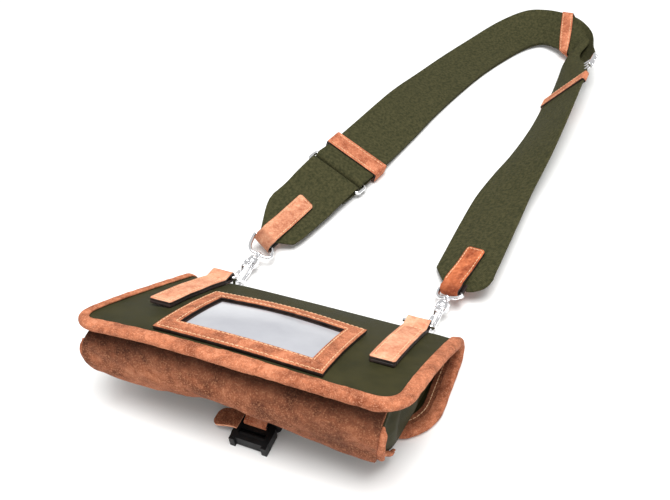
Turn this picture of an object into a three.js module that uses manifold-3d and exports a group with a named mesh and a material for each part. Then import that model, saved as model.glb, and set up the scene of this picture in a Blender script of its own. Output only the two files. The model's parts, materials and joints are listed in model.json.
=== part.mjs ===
// Small flap bag of nylon and suede with a snap-on webbing strap, lying on its flap, back panel up.
// Millimetres, +Z up. X runs along the bag, Y from its bottom edge towards its top, Z = 0 is the floor.
import * as THREE from 'three';
import { mergeVertices } from 'three/addons/utils/BufferGeometryUtils.js';
import Module from 'manifold-3d';

const wasm = await Module();
wasm.setup();

// Driving sizes
const restCentreY = 75; // middle of the flap, measured from the bag's bottom edge
const seamGap = 0.5; // between pieces that touch on the real bag
const nylonWall = 2;
const suedeWall = 2.2;

// Back panel and flap
const bottomEdgeHeight = 78; // back panel's bottom edge above the floor
const rollHeight = 20; // back panel where it rolls over
const panelDepth = 108.6; // bottom edge to roll, seen from above
const panelArch = 1.3; // power of the arched profile
const crownHeight = 4; // swell in the middle of the back
const crownReach = 62; // half width of that swell
const panelReach = { left: 112, right: 100 }; // wall without binding, at the bottom edge
const leftSag = 5; // the left end hangs lower
const leftBelly = 0.6; // and lower still half way along
const flapHalfWidth = 104;
const panelCorner = 16;
const flapCorner = 28;
const rollStartY = 104;
const rollEndY = 101;
const flapEdgeY = 40.1;
const flapSkew = 6; // the flap's right corner reaches further
const flapLift = 2.1; // the flap's rim stands on its binding
const rimWidth = 14;

// Edge binding
const bindingReach = 3.1; // past the wall's edge, and half its thickness
const bindingLap = 5; // over the wall's edge

// Window and ring tabs
const windowOuter = { left: -56.5, right: 52.5, near: 11, far: 73.5 };
const windowInner = { left: -45.5, right: 41.3, near: 21.7, far: 65 };
const windowFrameThick = 2;
const paneThick = 0.8;
const ringTab = { width: 16, near: 39, far: 98, thick: 3.8, barY: 105.5, wall: 2.2 };
const ringTabs = [
  { side: 'left', x: -74, hookOffset: 3, strapTabLength: 55, tabTurn: -8 },
  { side: 'right', x: 75.5, hookOffset: 4.5, strapTabLength: 41, tabTurn: -4 },
];
const tabRing = { halfWidth: 10.5, wire: 1.3, corner: 3.5 };

// Swivel snap hooks, measured along the hook from the middle of its bow
const hookWire = 1.6;
const bowRadius = 5.6;
const ringSeat = 2.3; // the tab ring's wire lies this far behind the middle of the bow
const hookReachY = 119.5;
const barrel = { start: 16, end: 23, radius: 5, bore: 1.9 };
const stem = { radius: 1.5, headRadius: 2.2, headStart: 14.7, headEnd: 15.6 };
const eye = { near: 25.5, bar: 40, halfWidth: 11, wire: 1.5, corner: 4 };
const gateHinge = { along: 14.2, off: 4.3, pin: 0.6, hole: 0.9, eyeRadius: 1.6 };
const gateThick = 2.8;

// Strap
const strapWidth = 50;
const strapThick = 2;
const strapTab = { width: 17, prong: 1.9, fork: 4.5, slot: 1.6, loop: 4.5, hole: 2.9 };
const strapRing = { barOffset: 5.3, wire: 1.6, foldRadius: 3.8, corner: 2.5 };
const keeperWall = 1.8;
const keeperRoom = 0.8;

// Inner edge of the strap on the floor, from the left hook round to the right one. lean lifts the outer
// edge and turn is its direction seen from above, both in degrees. chord is the width, less than the full
// one where the strap cups. top and low place the upper and lower layer along the strap's normal.
const strapRoute = [
  { x: -48, y: 170, z: 6.6, lean: 14, turn: 164.5, chord: 50, top: 0, low: -2.3 },
  { x: -36.5, y: 211, z: 6.6, lean: 14, turn: 164.5, chord: 50, top: 0, low: -2.3 },
  { x: -31, y: 234, z: 6.6, lean: 17, turn: 165, chord: 50, top: 1.8, low: -1.8 },
  { x: -25, y: 256, z: 6.6, lean: 19.8, turn: 165.5, chord: 50, top: 3.8, low: -3.8 },
  { x: -18, y: 283, z: 6.4, lean: 20.5, turn: 166.5, chord: 50, top: 1.2, low: -1.2 },
  { x: -11.5, y: 320, z: 3.6, lean: 23, turn: 169.5, chord: 50, top: 1.15, low: -1.15 },
  { x: -4.5, y: 357, z: 2.8, lean: 23, turn: 169.5, chord: 50, top: 1.15, low: -1.15 },
  { x: 1.5, y: 391, z: 2.6, lean: 18.5, turn: 168, chord: 50, top: 1.15, low: -1.15 },
  { x: 12, y: 436, z: 2.6, lean: 11, turn: 165.4, chord: 50, top: 1.15, low: -1.15 },
  { x: 25.2, y: 482, z: 2.6, lean: 7.5, turn: 161, chord: 50, top: 1.15, low: -1.15 },
  { x: 40.5, y: 520, z: 2.8, lean: 8, turn: 154, chord: 50, top: 1.15, low: -1.15 },
  { x: 56, y: 548.5, z: 3.8, lean: 13, turn: 141, chord: 50, top: 1.15, low: -1.15 },
  { x: 71, y: 560.5, z: 5.2, lean: 20, turn: 124, chord: 50, top: 1.15, low: -1.15 },
  { x: 85, y: 554.5, z: 6.4, lean: 24, turn: 110, chord: 50, top: 1.15, low: -1.15 },
  { x: 99.5, y: 541.5, z: 7.2, lean: 26, turn: 98, chord: 50, top: 1.15, low: -1.15 },
  { x: 106, y: 533.5, z: 6.6, lean: 30, turn: 67, chord: 38, top: 1.15, low: -2.6 },
  { x: 105, y: 518, z: 5.8, lean: 44, turn: 28, chord: 36, top: 1.15, low: -3.4 },
  { x: 102, y: 503, z: 5.4, lean: 45, turn: -2, chord: 46, top: 1.15, low: -2.4 },
  { x: 100.5, y: 486, z: 5.2, lean: 46, turn: -8, chord: 50, top: 1.15, low: -1.7 },
  { x: 98.5, y: 443, z: 4.8, lean: 48, turn: -7, chord: 50, top: 0.4, low: -2 },
  { x: 93.9, y: 394, z: 3, lean: 45.5, turn: -7.5, chord: 50, top: 0, low: -2.3 },
  { x: 86.2, y: 349, z: 2, lean: 37.5, turn: -11, chord: 50, top: 0, low: -2.3 },
  { x: 78, y: 315, z: 1.7, lean: 28.5, turn: -12, chord: 50, top: 0, low: -2.3 },
  { x: 71.2, y: 280, z: 1.7, lean: 22.5, turn: -8, chord: 50, top: 0, low: -2.3 },
  { x: 68.3, y: 243, z: 2.6, lean: 20.5, turn: -4, chord: 50, top: 0, low: -2.3 },
  { x: 66.7, y: 212, z: 3.6, lean: 20.5, turn: -3.3, chord: 50, top: 0, low: -2.3 },
  { x: 64.6, y: 176, z: 3.6, lean: 20.5, turn: -3.3, chord: 50, top: 0, low: -2.3 },
];
// Cut ends of the strap: reach is measured along it from the end of its route, near and far are the
// width that is left there.
const leftCut = [
  { reach: -6, near: 12, far: 28 },
  { reach: 4, near: 0, far: 32 },
  { reach: 13, near: 0, far: 37 },
  { reach: 30, near: 0, far: 50 },
];
const rightCut = [
  { reach: -14, near: 39, far: 47 },
  { reach: -8, near: 37, far: 50 },
  { reach: -7, near: 13, far: 50 },
  { reach: 9.5, near: 0, far: 50 },
];
const ringRow = 3;
const sliderRow = 18;
const keepers = [
  { name: 'strap_keeper_1', row: 4, halfRows: 0.34, layers: 2 },
  { name: 'strap_keeper_2', row: 14, halfRows: 0.34, layers: 2 },
  { name: 'strap_keeper_3', row: 19, halfRows: 0.14, layers: 1 },
];

// Bottom panel, rows from its top seam round to the front panel. share is the height between the
// lower edge and the top seam, left and right are the ends.
const bottomSeamHeight = 72;
const bottomProfile = [
  { y: 11, share: 0.985, left: -92, right: 85 },
  { y: 4, share: 1, left: -97, right: 89.5 },
  { y: 0.2, share: 0.95, left: -100, right: 90 },
  { y: -3.2, share: 0.78, left: -104, right: 88.7 },
  { y: -4.6, share: 0.5, left: -106, right: 87.8 },
  { y: -3.6, share: 0.25, left: -105, right: 86.6 },
  { y: -0.8, share: 0.08, left: -102, right: 85.2 },
  { y: 3.5, share: 0, left: -98, right: 83.5 },
  { y: 10, share: 0.01, left: -94, right: 81.5 },
];
// Height of the bottom's lower edge along the bag, which hangs in soft waves
const lowerEdge = [
  { x: -106, z: 27.5 },
  { x: -85, z: 25 },
  { x: -60, z: 25.5 },
  { x: -45, z: 27 },
  { x: -22, z: 32 },
  { x: -5, z: 30 },
  { x: 20, z: 27.5 },
  { x: 45, z: 26.5 },
  { x: 70, z: 25 },
  { x: 96, z: 25.5 },
];
const frontPanel = { near: 10.8, far: 101, farHeight: 5.8, left: -92, right: 80, halfWidth: 91, wall: 1.6 };
const gusset = { far: 97, wall: 1.6, topX: 96, drop: 5.4, rise: 3.6, fold: 5 };
const sideBinding = { radius: 2.2, back: 4, out: 1.9, endY: 24 };

// Closure
const buckle = { x: 2, width: 26, near: -4, split: 13, far: 32, height: 9 };
const closureStrap = { width: 17, thick: 2, tailWidth: 13, tailY: 9 };

// Materials
const finish = (color, roughness, metalness) => () =>
  new THREE.MeshStandardMaterial({ color, roughness, metalness });
const nylon = finish(0x413f2e, 0.6, 0);
const webbing = finish(0x4e4d32, 0.8, 0);
const suede = finish(0xb97355, 0.95, 0);
const bottomSuede = finish(0xa0644b, 0.95, 0);
const paleSuede = finish(0xe1a582, 0.85, 0);
const strapSuede = finish(0xc86e41, 0.85, 0);
const chrome = finish(0xd8d8da, 0.15, 1);
const plastic = finish(0x141414, 0.4, 0);
const clearPane = finish(0xb9bac4, 0.1, 0);

const v3 = (x, y, z) => new THREE.Vector3(x, y, z);
const { lerp, clamp, smoothstep, degToRad } = THREE.MathUtils;

// A closed solid from points and faces, turned so that its faces point out
function solidGeometry(points, faces) {
  let volume = 0;
  for (const [a, b, c] of faces) {
    volume += points[a].dot(points[b].clone().cross(points[c]));
  }
  const turned = volume < 0 ? faces.map(([a, b, c]) => [a, c, b]) : faces;
  const geometry = new THREE.BufferGeometry().setFromPoints(points);
  geometry.setIndex(turned.flat());
  geometry.computeVertexNormals();
  return geometry;
}

// Joins rings of points into one skin. An open one is capped with the triangles of its outline.
function loft(rings, closed, outline) {
  const count = rings[0].length;
  const faces = [];
  const spans = closed ? rings.length : rings.length - 1;
  for (let i = 0; i < spans; i++) {
    const here = i * count;
    const next = ((i + 1) % rings.length) * count;
    for (let j = 0; j < count; j++) {
      const k = (j + 1) % count;
      faces.push([here + j, next + j, next + k], [here + j, next + k, here + k]);
    }
  }
  if (!closed) {
    const end = (rings.length - 1) * count;
    const sense = Math.sign(THREE.ShapeUtils.area(outline));
    for (const face of THREE.ShapeUtils.triangulateShape(outline, [])) {
      const turn = Math.sign(THREE.ShapeUtils.area(face.map((index) => outline[index])));
      const [i, j, k] = turn === sense ? face : [face[0], face[2], face[1]];
      faces.push([i, j, k], [end + i, end + k, end + j]);
    }
  }
  return solidGeometry(rings.flat(), faces);
}

// Sweeps a flat outline along frames of a point and two directions
function sweep(outline, frames, closed) {
  const rings = frames.map(({ p, u, v }) =>
    outline.map((q) => p.clone().addScaledVector(u, q.x).addScaledVector(v, q.y)));
  return loft(rings, closed, outline);
}

const circle = (radius, sides) => Array.from({ length: sides }, (_, k) =>
  new THREE.Vector2(radius, 0).rotateAround(new THREE.Vector2(), (2 * Math.PI * k) / sides));

// Unit normal of a grid of points at one of them
function gridNormal(grid, i, j) {
  const row = (k) => grid[clamp(k, 0, grid.length - 1)];
  const along = row(i + 1)[j].clone().sub(row(i - 1)[j]);
  const column = (k) => grid[i][clamp(k, 0, grid[i].length - 1)];
  const across = column(j + 1).clone().sub(column(j - 1));
  return along.cross(across).normalize();
}

// Row and column of each point round the edge of a grid
function rimStops(rows, cols) {
  const run = (length) => Array.from({ length }, (_, k) => k);
  const lastRow = rows - 1;
  const lastCol = cols - 1;
  return [
    ...run(lastCol).map((k) => [0, k]),
    ...run(lastRow).map((k) => [k, lastCol]),
    ...run(lastCol).map((k) => [lastRow, lastCol - k]),
    ...run(lastRow).map((k) => [lastRow - k, 0]),
  ];
}

// A wall of even thickness behind a grid of outer points
function wall(grid, thickness) {
  const rows = grid.length;
  const cols = grid[0].length;
  const inner = grid.map((row, i) => row.map((p, j) =>
    p.clone().addScaledVector(gridNormal(grid, i, j), -thickness)));
  const faces = [];
  const behind = rows * cols;
  const at = (i, j) => i * cols + j;
  const quad = (a, b, c, d) => faces.push([a, b, c], [a, c, d]);
  for (let i = 0; i < rows - 1; i++) {
    for (let j = 0; j < cols - 1; j++) {
      const corners = [at(i, j), at(i + 1, j), at(i + 1, j + 1), at(i, j + 1)];
      quad(...corners);
      quad(...corners.map((index) => index + behind).reverse());
    }
  }
  const rim = rimStops(rows, cols).map(([i, j]) => at(i, j));
  rim.forEach((index, k) => {
    const next = rim[(k + 1) % rim.length];
    quad(index, next, next + behind, index + behind);
  });
  return solidGeometry([...grid.flat(), ...inner.flat()], faces);
}

// Rounded rectangle of points in a plane, from its near to its far side
function roundedLoop(halfWidth, near, far, nearCorner, farCorner, steps) {
  const points = [];
  const corners = [
    { x: halfWidth - farCorner, y: far - farCorner, r: farCorner, from: 0 },
    { x: -halfWidth + farCorner, y: far - farCorner, r: farCorner, from: 90 },
    { x: -halfWidth + nearCorner, y: near + nearCorner, r: nearCorner, from: 180 },
    { x: halfWidth - nearCorner, y: near + nearCorner, r: nearCorner, from: 270 },
  ];
  for (const corner of corners) {
    for (let k = 0; k <= steps; k++) {
      const angle = degToRad(corner.from + (90 * k) / steps);
      const arm = new THREE.Vector2(Math.cos(angle), Math.sin(angle)).multiplyScalar(corner.r);
      points.push(arm.add(corner));
    }
  }
  return points;
}

// Round wire bent along a closed loop of plane points, X and Y of the loop given as directions
function wireLoop(loop, radius, sides, origin, alongX, alongY) {
  const place = (q) => origin.clone().addScaledVector(alongX, q.x).addScaledVector(alongY, q.y);
  const facing = alongX.clone().cross(alongY);
  const frames = loop.map((q, k) => {
    const before = place(loop[(k + loop.length - 1) % loop.length]);
    const after = place(loop[(k + 1) % loop.length]);
    const tangent = after.sub(before).normalize();
    return { p: place(q), u: facing, v: tangent.cross(facing).normalize() };
  });
  return sweep(circle(radius, sides), frames, true);
}

function toSolid(geometry) {
  const bare = geometry.clone();
  bare.deleteAttribute('normal');
  bare.deleteAttribute('uv');
  const merged = mergeVertices(bare, 1e-4);
  const vertProperties = Float32Array.from(merged.attributes.position.array);
  const triVerts = Uint32Array.from(merged.index.array);
  return new wasm.Manifold(new wasm.Mesh({ numProp: 3, vertProperties, triVerts }));
}

function fromSolid(solid) {
  const { vertProperties, triVerts } = solid.getMesh();
  const geometry = new THREE.BufferGeometry();
  geometry.setAttribute('position', new THREE.BufferAttribute(vertProperties, 3));
  geometry.setIndex(new THREE.BufferAttribute(triVerts, 1));
  geometry.computeVertexNormals();
  return geometry;
}

const join = (...pieces) => fromSolid(pieces.map(toSolid).reduce((sum, piece) => sum.add(piece)));

function part(parent, name, geometry, material) {
  const mesh = new THREE.Mesh(geometry, material());
  mesh.name = name;
  parent.add(mesh);
  return mesh;
}

// A flat outline drawn in Y and Z and given a width along X, centred on x
function slabAcross(points, hole, x, width) {
  const shape = new THREE.Shape(THREE.ShapeUtils.isClockWise(points) ? points.reverse() : points);
  if (hole) {
    shape.holes.push(new THREE.Path().absarc(hole.y, hole.z, hole.radius, 0, 2 * Math.PI, true));
  }
  const slab = new THREE.ExtrudeGeometry(shape, { depth: width, bevelEnabled: false, curveSegments: 6 });
  const toYZ = new THREE.Matrix4().makeBasis(v3(0, 1, 0), v3(0, 0, 1), v3(1, 0, 0));
  return slab.applyMatrix4(toYZ).translate(x - width / 2, 0, 0);
}

const bag = new THREE.Group();
bag.position.y = -restCentreY;

// Back panel: its height, and points on it with an offset along its normal
const sag = (x) => leftSag * smoothstep(-x, 45, 118);

function panelHeight(x, y) {
  const share = clamp(y / panelDepth, 0, 1);
  const arch = bottomEdgeHeight - (bottomEdgeHeight - rollHeight) * share ** panelArch;
  const across = Math.max(0, 1 - (x / crownReach) ** 2);
  return arch + crownHeight * across ** 2 * Math.sin(Math.PI * share)
    - sag(x) * (1 + leftBelly * Math.sin(Math.PI * share));
}

function onPanel(x, y, offset) {
  const step = 0.5;
  const slopeX = (panelHeight(x + step, y) - panelHeight(x - step, y)) / (2 * step);
  const slopeY = (panelHeight(x, y + step) - panelHeight(x, y - step)) / (2 * step);
  return v3(x, y, panelHeight(x, y)).addScaledVector(v3(-slopeX, -slopeY, 1).normalize(), offset);
}

// Back panel, roll and flap as one sheet, rows from the bottom edge over the top to the flap's edge
function rollPoint(x, share) {
  const start = v3(x, rollStartY, panelHeight(x, rollStartY));
  const slope = onPanel(x, rollStartY, 1).sub(start);
  const out = v3(0, slope.z, -slope.y).multiplyScalar(10).add(start);
  const curve = new THREE.CubicBezierCurve3(start, out, v3(x, rollEndY + 13, 0), v3(x, rollEndY, 0));
  return curve.getPoint(share);
}

function sheetRows() {
  const rows = [];
  for (const y of [bindingReach, 4.3, 7, 11, 17, 26, 38, 52, 66, 80, 92]) {
    rows.push((x) => v3(x, y, panelHeight(x, y)));
  }
  const rollSteps = 8;
  for (let k = 0; k <= rollSteps; k++) {
    rows.push((x) => rollPoint(x, k / rollSteps));
  }
  for (const inset of [48, 36, 26, 16, 9, 4, 1, 0]) {
    const skew = flapSkew * (1 - inset / 60);
    rows.push((x) => v3(x, flapEdgeY + inset - skew * smoothstep(x, 25, flapHalfWidth), 0));
  }
  return rows;
}

const cornerInset = (radius, distance) =>
  (distance < radius ? radius - Math.sqrt(radius ** 2 - (radius - distance) ** 2) : 0);

function sheetGrid() {
  const rows = sheetRows();
  const columns = [1, 0.955, 0.9, 0.82, 0.6, 0.3, 0, -0.3, -0.6, -0.82, -0.9, -0.955, -1];
  const run = [0];
  for (let i = 1; i < rows.length; i++) {
    run.push(run[i - 1] + rows[i](0).distanceTo(rows[i - 1](0)));
  }
  const total = run[run.length - 1];
  return rows.map((row, i) => {
    const widening = Math.min(1, run[i] / panelDepth);
    const inset = cornerInset(panelCorner, run[i]) + cornerInset(flapCorner, total - run[i]);
    return columns.map((share) => {
      const widest = share < 0 ? panelReach.left : panelReach.right;
      const half = lerp(widest, flapHalfWidth, widening) - inset;
      const point = row(share * half);
      const toSide = half * (1 - Math.abs(share));
      const rim = Math.min(toSide, total - run[i]);
      point.z = Math.max(point.z, flapLift * (1 - smoothstep(rim, rimWidth / 2, rimWidth)));
      return point;
    });
  });
}

const sheet = sheetGrid();
part(bag, 'back_panel_flap', wall(sheet, nylonWall), nylon);

// Suede binding folded round the sheet's edge
function bindingFrames() {
  const stops = rimStops(sheet.length, sheet[0].length);
  const middle = ([i, j]) => sheet[i][j].clone().addScaledVector(gridNormal(sheet, i, j), -nylonWall / 2);
  return stops.map((stop, k) => {
    const before = middle(stops[(k + stops.length - 1) % stops.length]);
    const after = middle(stops[(k + 1) % stops.length]);
    const normal = gridNormal(sheet, ...stop);
    const out = normal.clone().cross(after.sub(before)).normalize();
    return { p: middle(stop), u: out, v: normal };
  });
}

function bindingOutline() {
  const slot = nylonWall / 2 + 0.85;
  const side = [
    new THREE.Vector2(0.9, slot),
    new THREE.Vector2(-bindingLap, slot),
    new THREE.Vector2(-bindingLap, bindingReach - 0.2),
    new THREE.Vector2(0, bindingReach),
    new THREE.Vector2(bindingReach - 0.7, bindingReach - 1.1),
  ];
  const mirrored = side.map((q) => new THREE.Vector2(q.x, -q.y)).reverse();
  return [...side, new THREE.Vector2(bindingReach, 0), ...mirrored];
}

part(bag, 'edge_binding', sweep(bindingOutline(), bindingFrames(), true), suede);

// Bottom panel, front panel and gussets
function lowerEdgeHeight(x) {
  const last = lowerEdge.length - 2;
  const k = clamp(lowerEdge.findIndex((row) => row.x > x) - 1, 0, last);
  const share = clamp((x - lowerEdge[k].x) / (lowerEdge[k + 1].x - lowerEdge[k].x), 0, 1);
  return lerp(lowerEdge[k].z, lowerEdge[k + 1].z, smoothstep(share, 0, 1));
}

const bottomColumns = 16;
const bottomGrid = bottomProfile.map((row) => Array.from({ length: bottomColumns + 1 }, (_, j) => {
  const x = lerp(row.left, row.right, j / bottomColumns);
  return v3(x, row.y, lerp(lowerEdgeHeight(x), bottomSeamHeight - sag(x), row.share));
}));
part(bag, 'bottom_panel', wall(bottomGrid, suedeWall), bottomSuede);

function frontHeight(x, y) {
  const share = (y - frontPanel.near) / (frontPanel.far - frontPanel.near);
  return lerp(lowerEdgeHeight(x) + 0.2, frontPanel.farHeight, share);
}

const frontGrid = [0, 0.2, 0.45, 0.7, 1].map((share) => Array.from({ length: 13 }, (_, j) => {
  const y = lerp(frontPanel.near, frontPanel.far, share);
  const left = lerp(frontPanel.left, -frontPanel.halfWidth, share);
  const right = lerp(frontPanel.right, frontPanel.halfWidth, share);
  const x = lerp(left, right, j / 12);
  return v3(x, y, frontHeight(x, y));
}));
part(bag, 'front_panel', wall(frontGrid, frontPanel.wall), nylon);

// Gusset points: along runs from the bottom panel to the mouth, up from the front panel to the back
function gussetPoint(sign, along, up) {
  const row = (share) => {
    const rows = bottomProfile.slice(1, 8).reverse();
    const k = Math.min(Math.floor(share * (rows.length - 1)), rows.length - 2);
    const t = share * (rows.length - 1) - k;
    return {
      y: lerp(rows[k].y, rows[k + 1].y, t),
      x: sign > 0 ? lerp(rows[k].right, rows[k + 1].right, t) : -lerp(rows[k].left, rows[k + 1].left, t),
    };
  };
  const nearEnd = row(up);
  const y = lerp(nearEnd.y + suedeWall + 0.8, gusset.far, along);
  const nearX = nearEnd.x - 1.5;
  const farX = lerp(frontPanel.halfWidth + 3, gusset.topX, up);
  const pleat = Math.cos(3 * Math.PI * along) * Math.sin(Math.PI * along);
  const swell = gusset.fold * Math.sin(Math.PI * up) * pleat;
  const x = lerp(nearX, farX, smoothstep(along, 0, 0.5)) + swell;
  const floorZ = frontHeight(sign * nearX, Math.max(y, frontPanel.near)) + gusset.rise;
  const underPanel = panelHeight(sign * gusset.topX, y) - gusset.drop;
  const underSeam = bottomSeamHeight - sag(sign * gusset.topX) - suedeWall - 1;
  const roofZ = Math.min(underPanel, underSeam);
  return v3(sign * x, y, lerp(floorZ, roofZ, up));
}

function gussetGrid(sign) {
  const alongSteps = 9;
  const upSteps = 6;
  return Array.from({ length: alongSteps + 1 }, (_, i) => Array.from({ length: upSteps + 1 }, (_, j) => {
    const up = sign > 0 ? j / upSteps : 1 - j / upSteps;
    return gussetPoint(sign, i / alongSteps, up);
  }));
}

// Suede binding down the end of the bottom and round under the gusset
function sideBindingCurve(sign) {
  const ends = bottomProfile.slice(3, 8);
  const points = ends.map((row) => {
    const x = sign > 0 ? row.right : row.left;
    const z = lerp(lowerEdgeHeight(x), bottomSeamHeight - sag(x), row.share);
    return v3(x + sign * sideBinding.out, row.y + sideBinding.back, z);
  });
  for (const y of [16, sideBinding.endY]) {
    const lower = gussetPoint(sign, (y - 4) / (gusset.far - 4), 0);
    points.push(v3(lower.x + sign * (sideBinding.radius + 1), y, lower.z));
  }
  return new THREE.CatmullRomCurve3(points);
}

for (const { side, sign } of [{ side: 'left', sign: -1 }, { side: 'right', sign: 1 }]) {
  part(bag, `gusset_${side}`, wall(gussetGrid(sign), gusset.wall), nylon);
  const piping = new THREE.ExtrudeGeometry(new THREE.Shape(circle(sideBinding.radius, 8)), {
    steps: 20,
    bevelEnabled: false,
    extrudePath: sideBindingCurve(sign),
  });
  part(bag, `side_binding_${side}`, piping, suede);
}

// Window frame and pane on the back panel
function windowFrame() {
  const corner = (box, k) => [
    [box.left, box.near], [box.right, box.near], [box.right, box.far], [box.left, box.far],
  ][k % 4];
  const steps = 6;
  const rings = [];
  for (let k = 0; k < 4; k++) {
    for (let i = 0; i < steps; i++) {
      const at = (box) => {
        const [x0, y0] = corner(box, k);
        const [x1, y1] = corner(box, k + 1);
        return [lerp(x0, x1, i / steps), lerp(y0, y1, i / steps)];
      };
      const low = seamGap + 0.2;
      const high = low + windowFrameThick;
      rings.push([
        onPanel(...at(windowOuter), high),
        onPanel(...at(windowInner), high),
        onPanel(...at(windowInner), low),
        onPanel(...at(windowOuter), low),
      ]);
    }
  }
  return loft(rings, true);
}

part(bag, 'window_frame', windowFrame(), suede);

const paneSteps = 8;
const paneShares = Array.from({ length: paneSteps + 1 }, (_, k) => k / paneSteps);
const paneGrid = paneShares.map((along) => paneShares.map((across) => {
  const y = lerp(windowInner.near + seamGap, windowInner.far - seamGap, along);
  const x = lerp(windowInner.right - seamGap, windowInner.left + seamGap, across);
  return onPanel(x, y, seamGap + 0.1 + paneThick);
}));
part(bag, 'window_pane', wall(paneGrid, paneThick), clearPane);

// Ring tabs: a folded strip along the panel whose far end loops round the ring's bar
const tabLoopRadius = tabRing.wire + 0.4 + ringTab.wall;
const tabInner = (x) => x - Math.sign(x) * (ringTab.width / 2);
const tabBar = (x) => onPanel(tabInner(x), ringTab.barY, seamGap + tabLoopRadius).setX(x);

function ringTabGeometry(x) {
  const innerX = tabInner(x);
  const bar = tabBar(x);
  const steps = 8;
  const lowSide = [];
  const highSide = [];
  for (let k = 0; k <= steps; k++) {
    const y = lerp(ringTab.near, ringTab.far, k / steps);
    lowSide.push(onPanel(innerX, y, seamGap));
    highSide.push(onPanel(innerX, y, seamGap + ringTab.thick));
  }
  const slope = onPanel(x, ringTab.barY, 1).sub(onPanel(x, ringTab.barY, 0));
  const upAngle = Math.atan2(slope.z, slope.y);
  const loop = [];
  const loopSteps = 9;
  for (let k = 0; k <= loopSteps; k++) {
    const angle = upAngle - Math.PI + (Math.PI * 1.15 * k) / loopSteps;
    loop.push(v3(x, bar.y + tabLoopRadius * Math.cos(angle), bar.z + tabLoopRadius * Math.sin(angle)));
  }
  const outline = [...lowSide, ...loop, ...highSide.reverse()].map((p) => new THREE.Vector2(p.y, p.z));
  const hole = { y: bar.y, z: bar.z, radius: tabRing.wire + 0.4 };
  return slabAcross(outline, hole, x, ringTab.width);
}

// Strap: a frame at a row of its route, fractions of a row between
const rowCount = strapRoute.length - 1;
const routeCurve = new THREE.CatmullRomCurve3(strapRoute.map((row) => v3(row.x, row.y, row.z)));
const leanCurve = new THREE.CatmullRomCurve3(strapRoute.map((row) => v3(row.lean, row.turn, row.chord)));
const layerCurve = new THREE.CatmullRomCurve3(strapRoute.map((row) => v3(row.top, row.low, 0)));
for (const curve of [routeCurve, leanCurve, layerCurve]) {
  curve.curveType = 'catmullrom';
}

function strapFrame(row) {
  const share = row / rowCount;
  const p = routeCurve.getPoint(share);
  const tilt = leanCurve.getPoint(share);
  const layers = layerCurve.getPoint(share);
  const lean = degToRad(tilt.x);
  const turn = degToRad(tilt.y);
  const across = v3(Math.cos(lean) * Math.cos(turn), Math.cos(lean) * Math.sin(turn), Math.sin(lean));
  const normal = routeCurve.getTangent(share).setZ(0).cross(across).normalize();
  const heading = across.clone().cross(normal);
  return { p, heading, across, normal, chord: tilt.z, top: layers.x, low: layers.y };
}

const onStrap = (frame, w, n) =>
  frame.p.clone().addScaledVector(frame.across, w).addScaledVector(frame.normal, n);

// Corners of a rectangle across the strap, between two places in its width and two along its normal
const boxOnStrap = (frame, from, to, low, high) => [
  onStrap(frame, from, high), onStrap(frame, to, high), onStrap(frame, to, low), onStrap(frame, from, low),
];

// One cross-section of webbing: its middle line starts at base, facing is the outer side's direction
function webbingSection(base, across, facing, near, far) {
  const h = strapThick / 2;
  const corner = (w, side) => base.clone().addScaledVector(across, w).addScaledVector(facing, side * h);
  return [corner(near, 1), corner(far, 1), corner(far, -1), corner(near, -1)];
}

function layerSections(fromRow, toRow, layer) {
  const stepsPerRow = 3;
  const steps = Math.max(2, Math.round(Math.abs(toRow - fromRow) * stepsPerRow));
  return Array.from({ length: steps + 1 }, (_, k) => {
    const frame = strapFrame(lerp(fromRow, toRow, k / steps));
    const offset = layer === 'top' ? frame.top : frame.low;
    const facing = frame.normal.clone().multiplyScalar(layer === 'top' ? 1 : -1);
    return webbingSection(onStrap(frame, 0, offset), frame.across, facing, 0, frame.chord);
  });
}

// The fold of webbing round one bar of the strap ring, from one layer to the other
function foldSections(barSign, fromAngle, toAngle) {
  const frame = strapFrame(ringRow);
  const bar = frame.p.clone().addScaledVector(frame.heading, barSign * strapRing.barOffset);
  const steps = 6;
  return Array.from({ length: steps + 1 }, (_, k) => {
    const angle = degToRad(lerp(fromAngle, toAngle, k / steps));
    const facing = frame.heading.clone().multiplyScalar(Math.cos(angle));
    facing.addScaledVector(frame.normal, Math.sin(angle));
    const base = bar.clone().addScaledVector(facing, strapRing.foldRadius);
    return webbingSection(base, frame.across, facing, 0, strapWidth);
  });
}

function cutEnd(row, cuts) {
  const frame = strapFrame(row);
  const inward = row === 0 ? 1 : -1;
  return cuts.map(({ reach, near, far }) => {
    const base = onStrap(frame, 0, frame.top).addScaledVector(frame.heading, inward * reach);
    return webbingSection(base, frame.across, frame.normal, near, far);
  });
}

const sectionOutline = [[0, 1], [1, 1], [1, 0], [0, 0]].map(([x, y]) => new THREE.Vector2(x, y));
const cutRows = { left: 0.8, right: 0.4 };
const foldRows = 0.2;

const leftEnd = [
  ...cutEnd(0, leftCut),
  ...layerSections(cutRows.left, ringRow - foldRows, 'top'),
  ...foldSections(-1, 90, -90),
  ...layerSections(ringRow - foldRows, ringRow - 1, 'low'),
];
part(bag, 'strap_left_end', loft(leftEnd, false, sectionOutline), webbing);

const longStrap = [
  ...layerSections(sliderRow - 0.5, ringRow + foldRows, 'low'),
  ...foldSections(1, 270, 90),
  ...layerSections(ringRow + foldRows, rowCount - cutRows.right, 'top'),
  ...cutEnd(rowCount, rightCut).reverse(),
];
part(bag, 'strap_long', loft(longStrap, false, sectionOutline), webbing);

// Metal ring between the strap's two pieces of webbing
const ringFrame = strapFrame(ringRow);
const ringHalf = strapWidth / 2 + keeperRoom + strapRing.wire;
const ringCentre = ringFrame.p.clone().addScaledVector(ringFrame.across, strapWidth / 2);
const ringLoop = roundedLoop(
  ringHalf, -strapRing.barOffset, strapRing.barOffset, strapRing.corner, strapRing.corner, 3);
const ringWire = wireLoop(ringLoop, strapRing.wire, 8, ringCentre, ringFrame.across, ringFrame.heading);
part(bag, 'strap_ring', ringWire, chrome);

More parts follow.
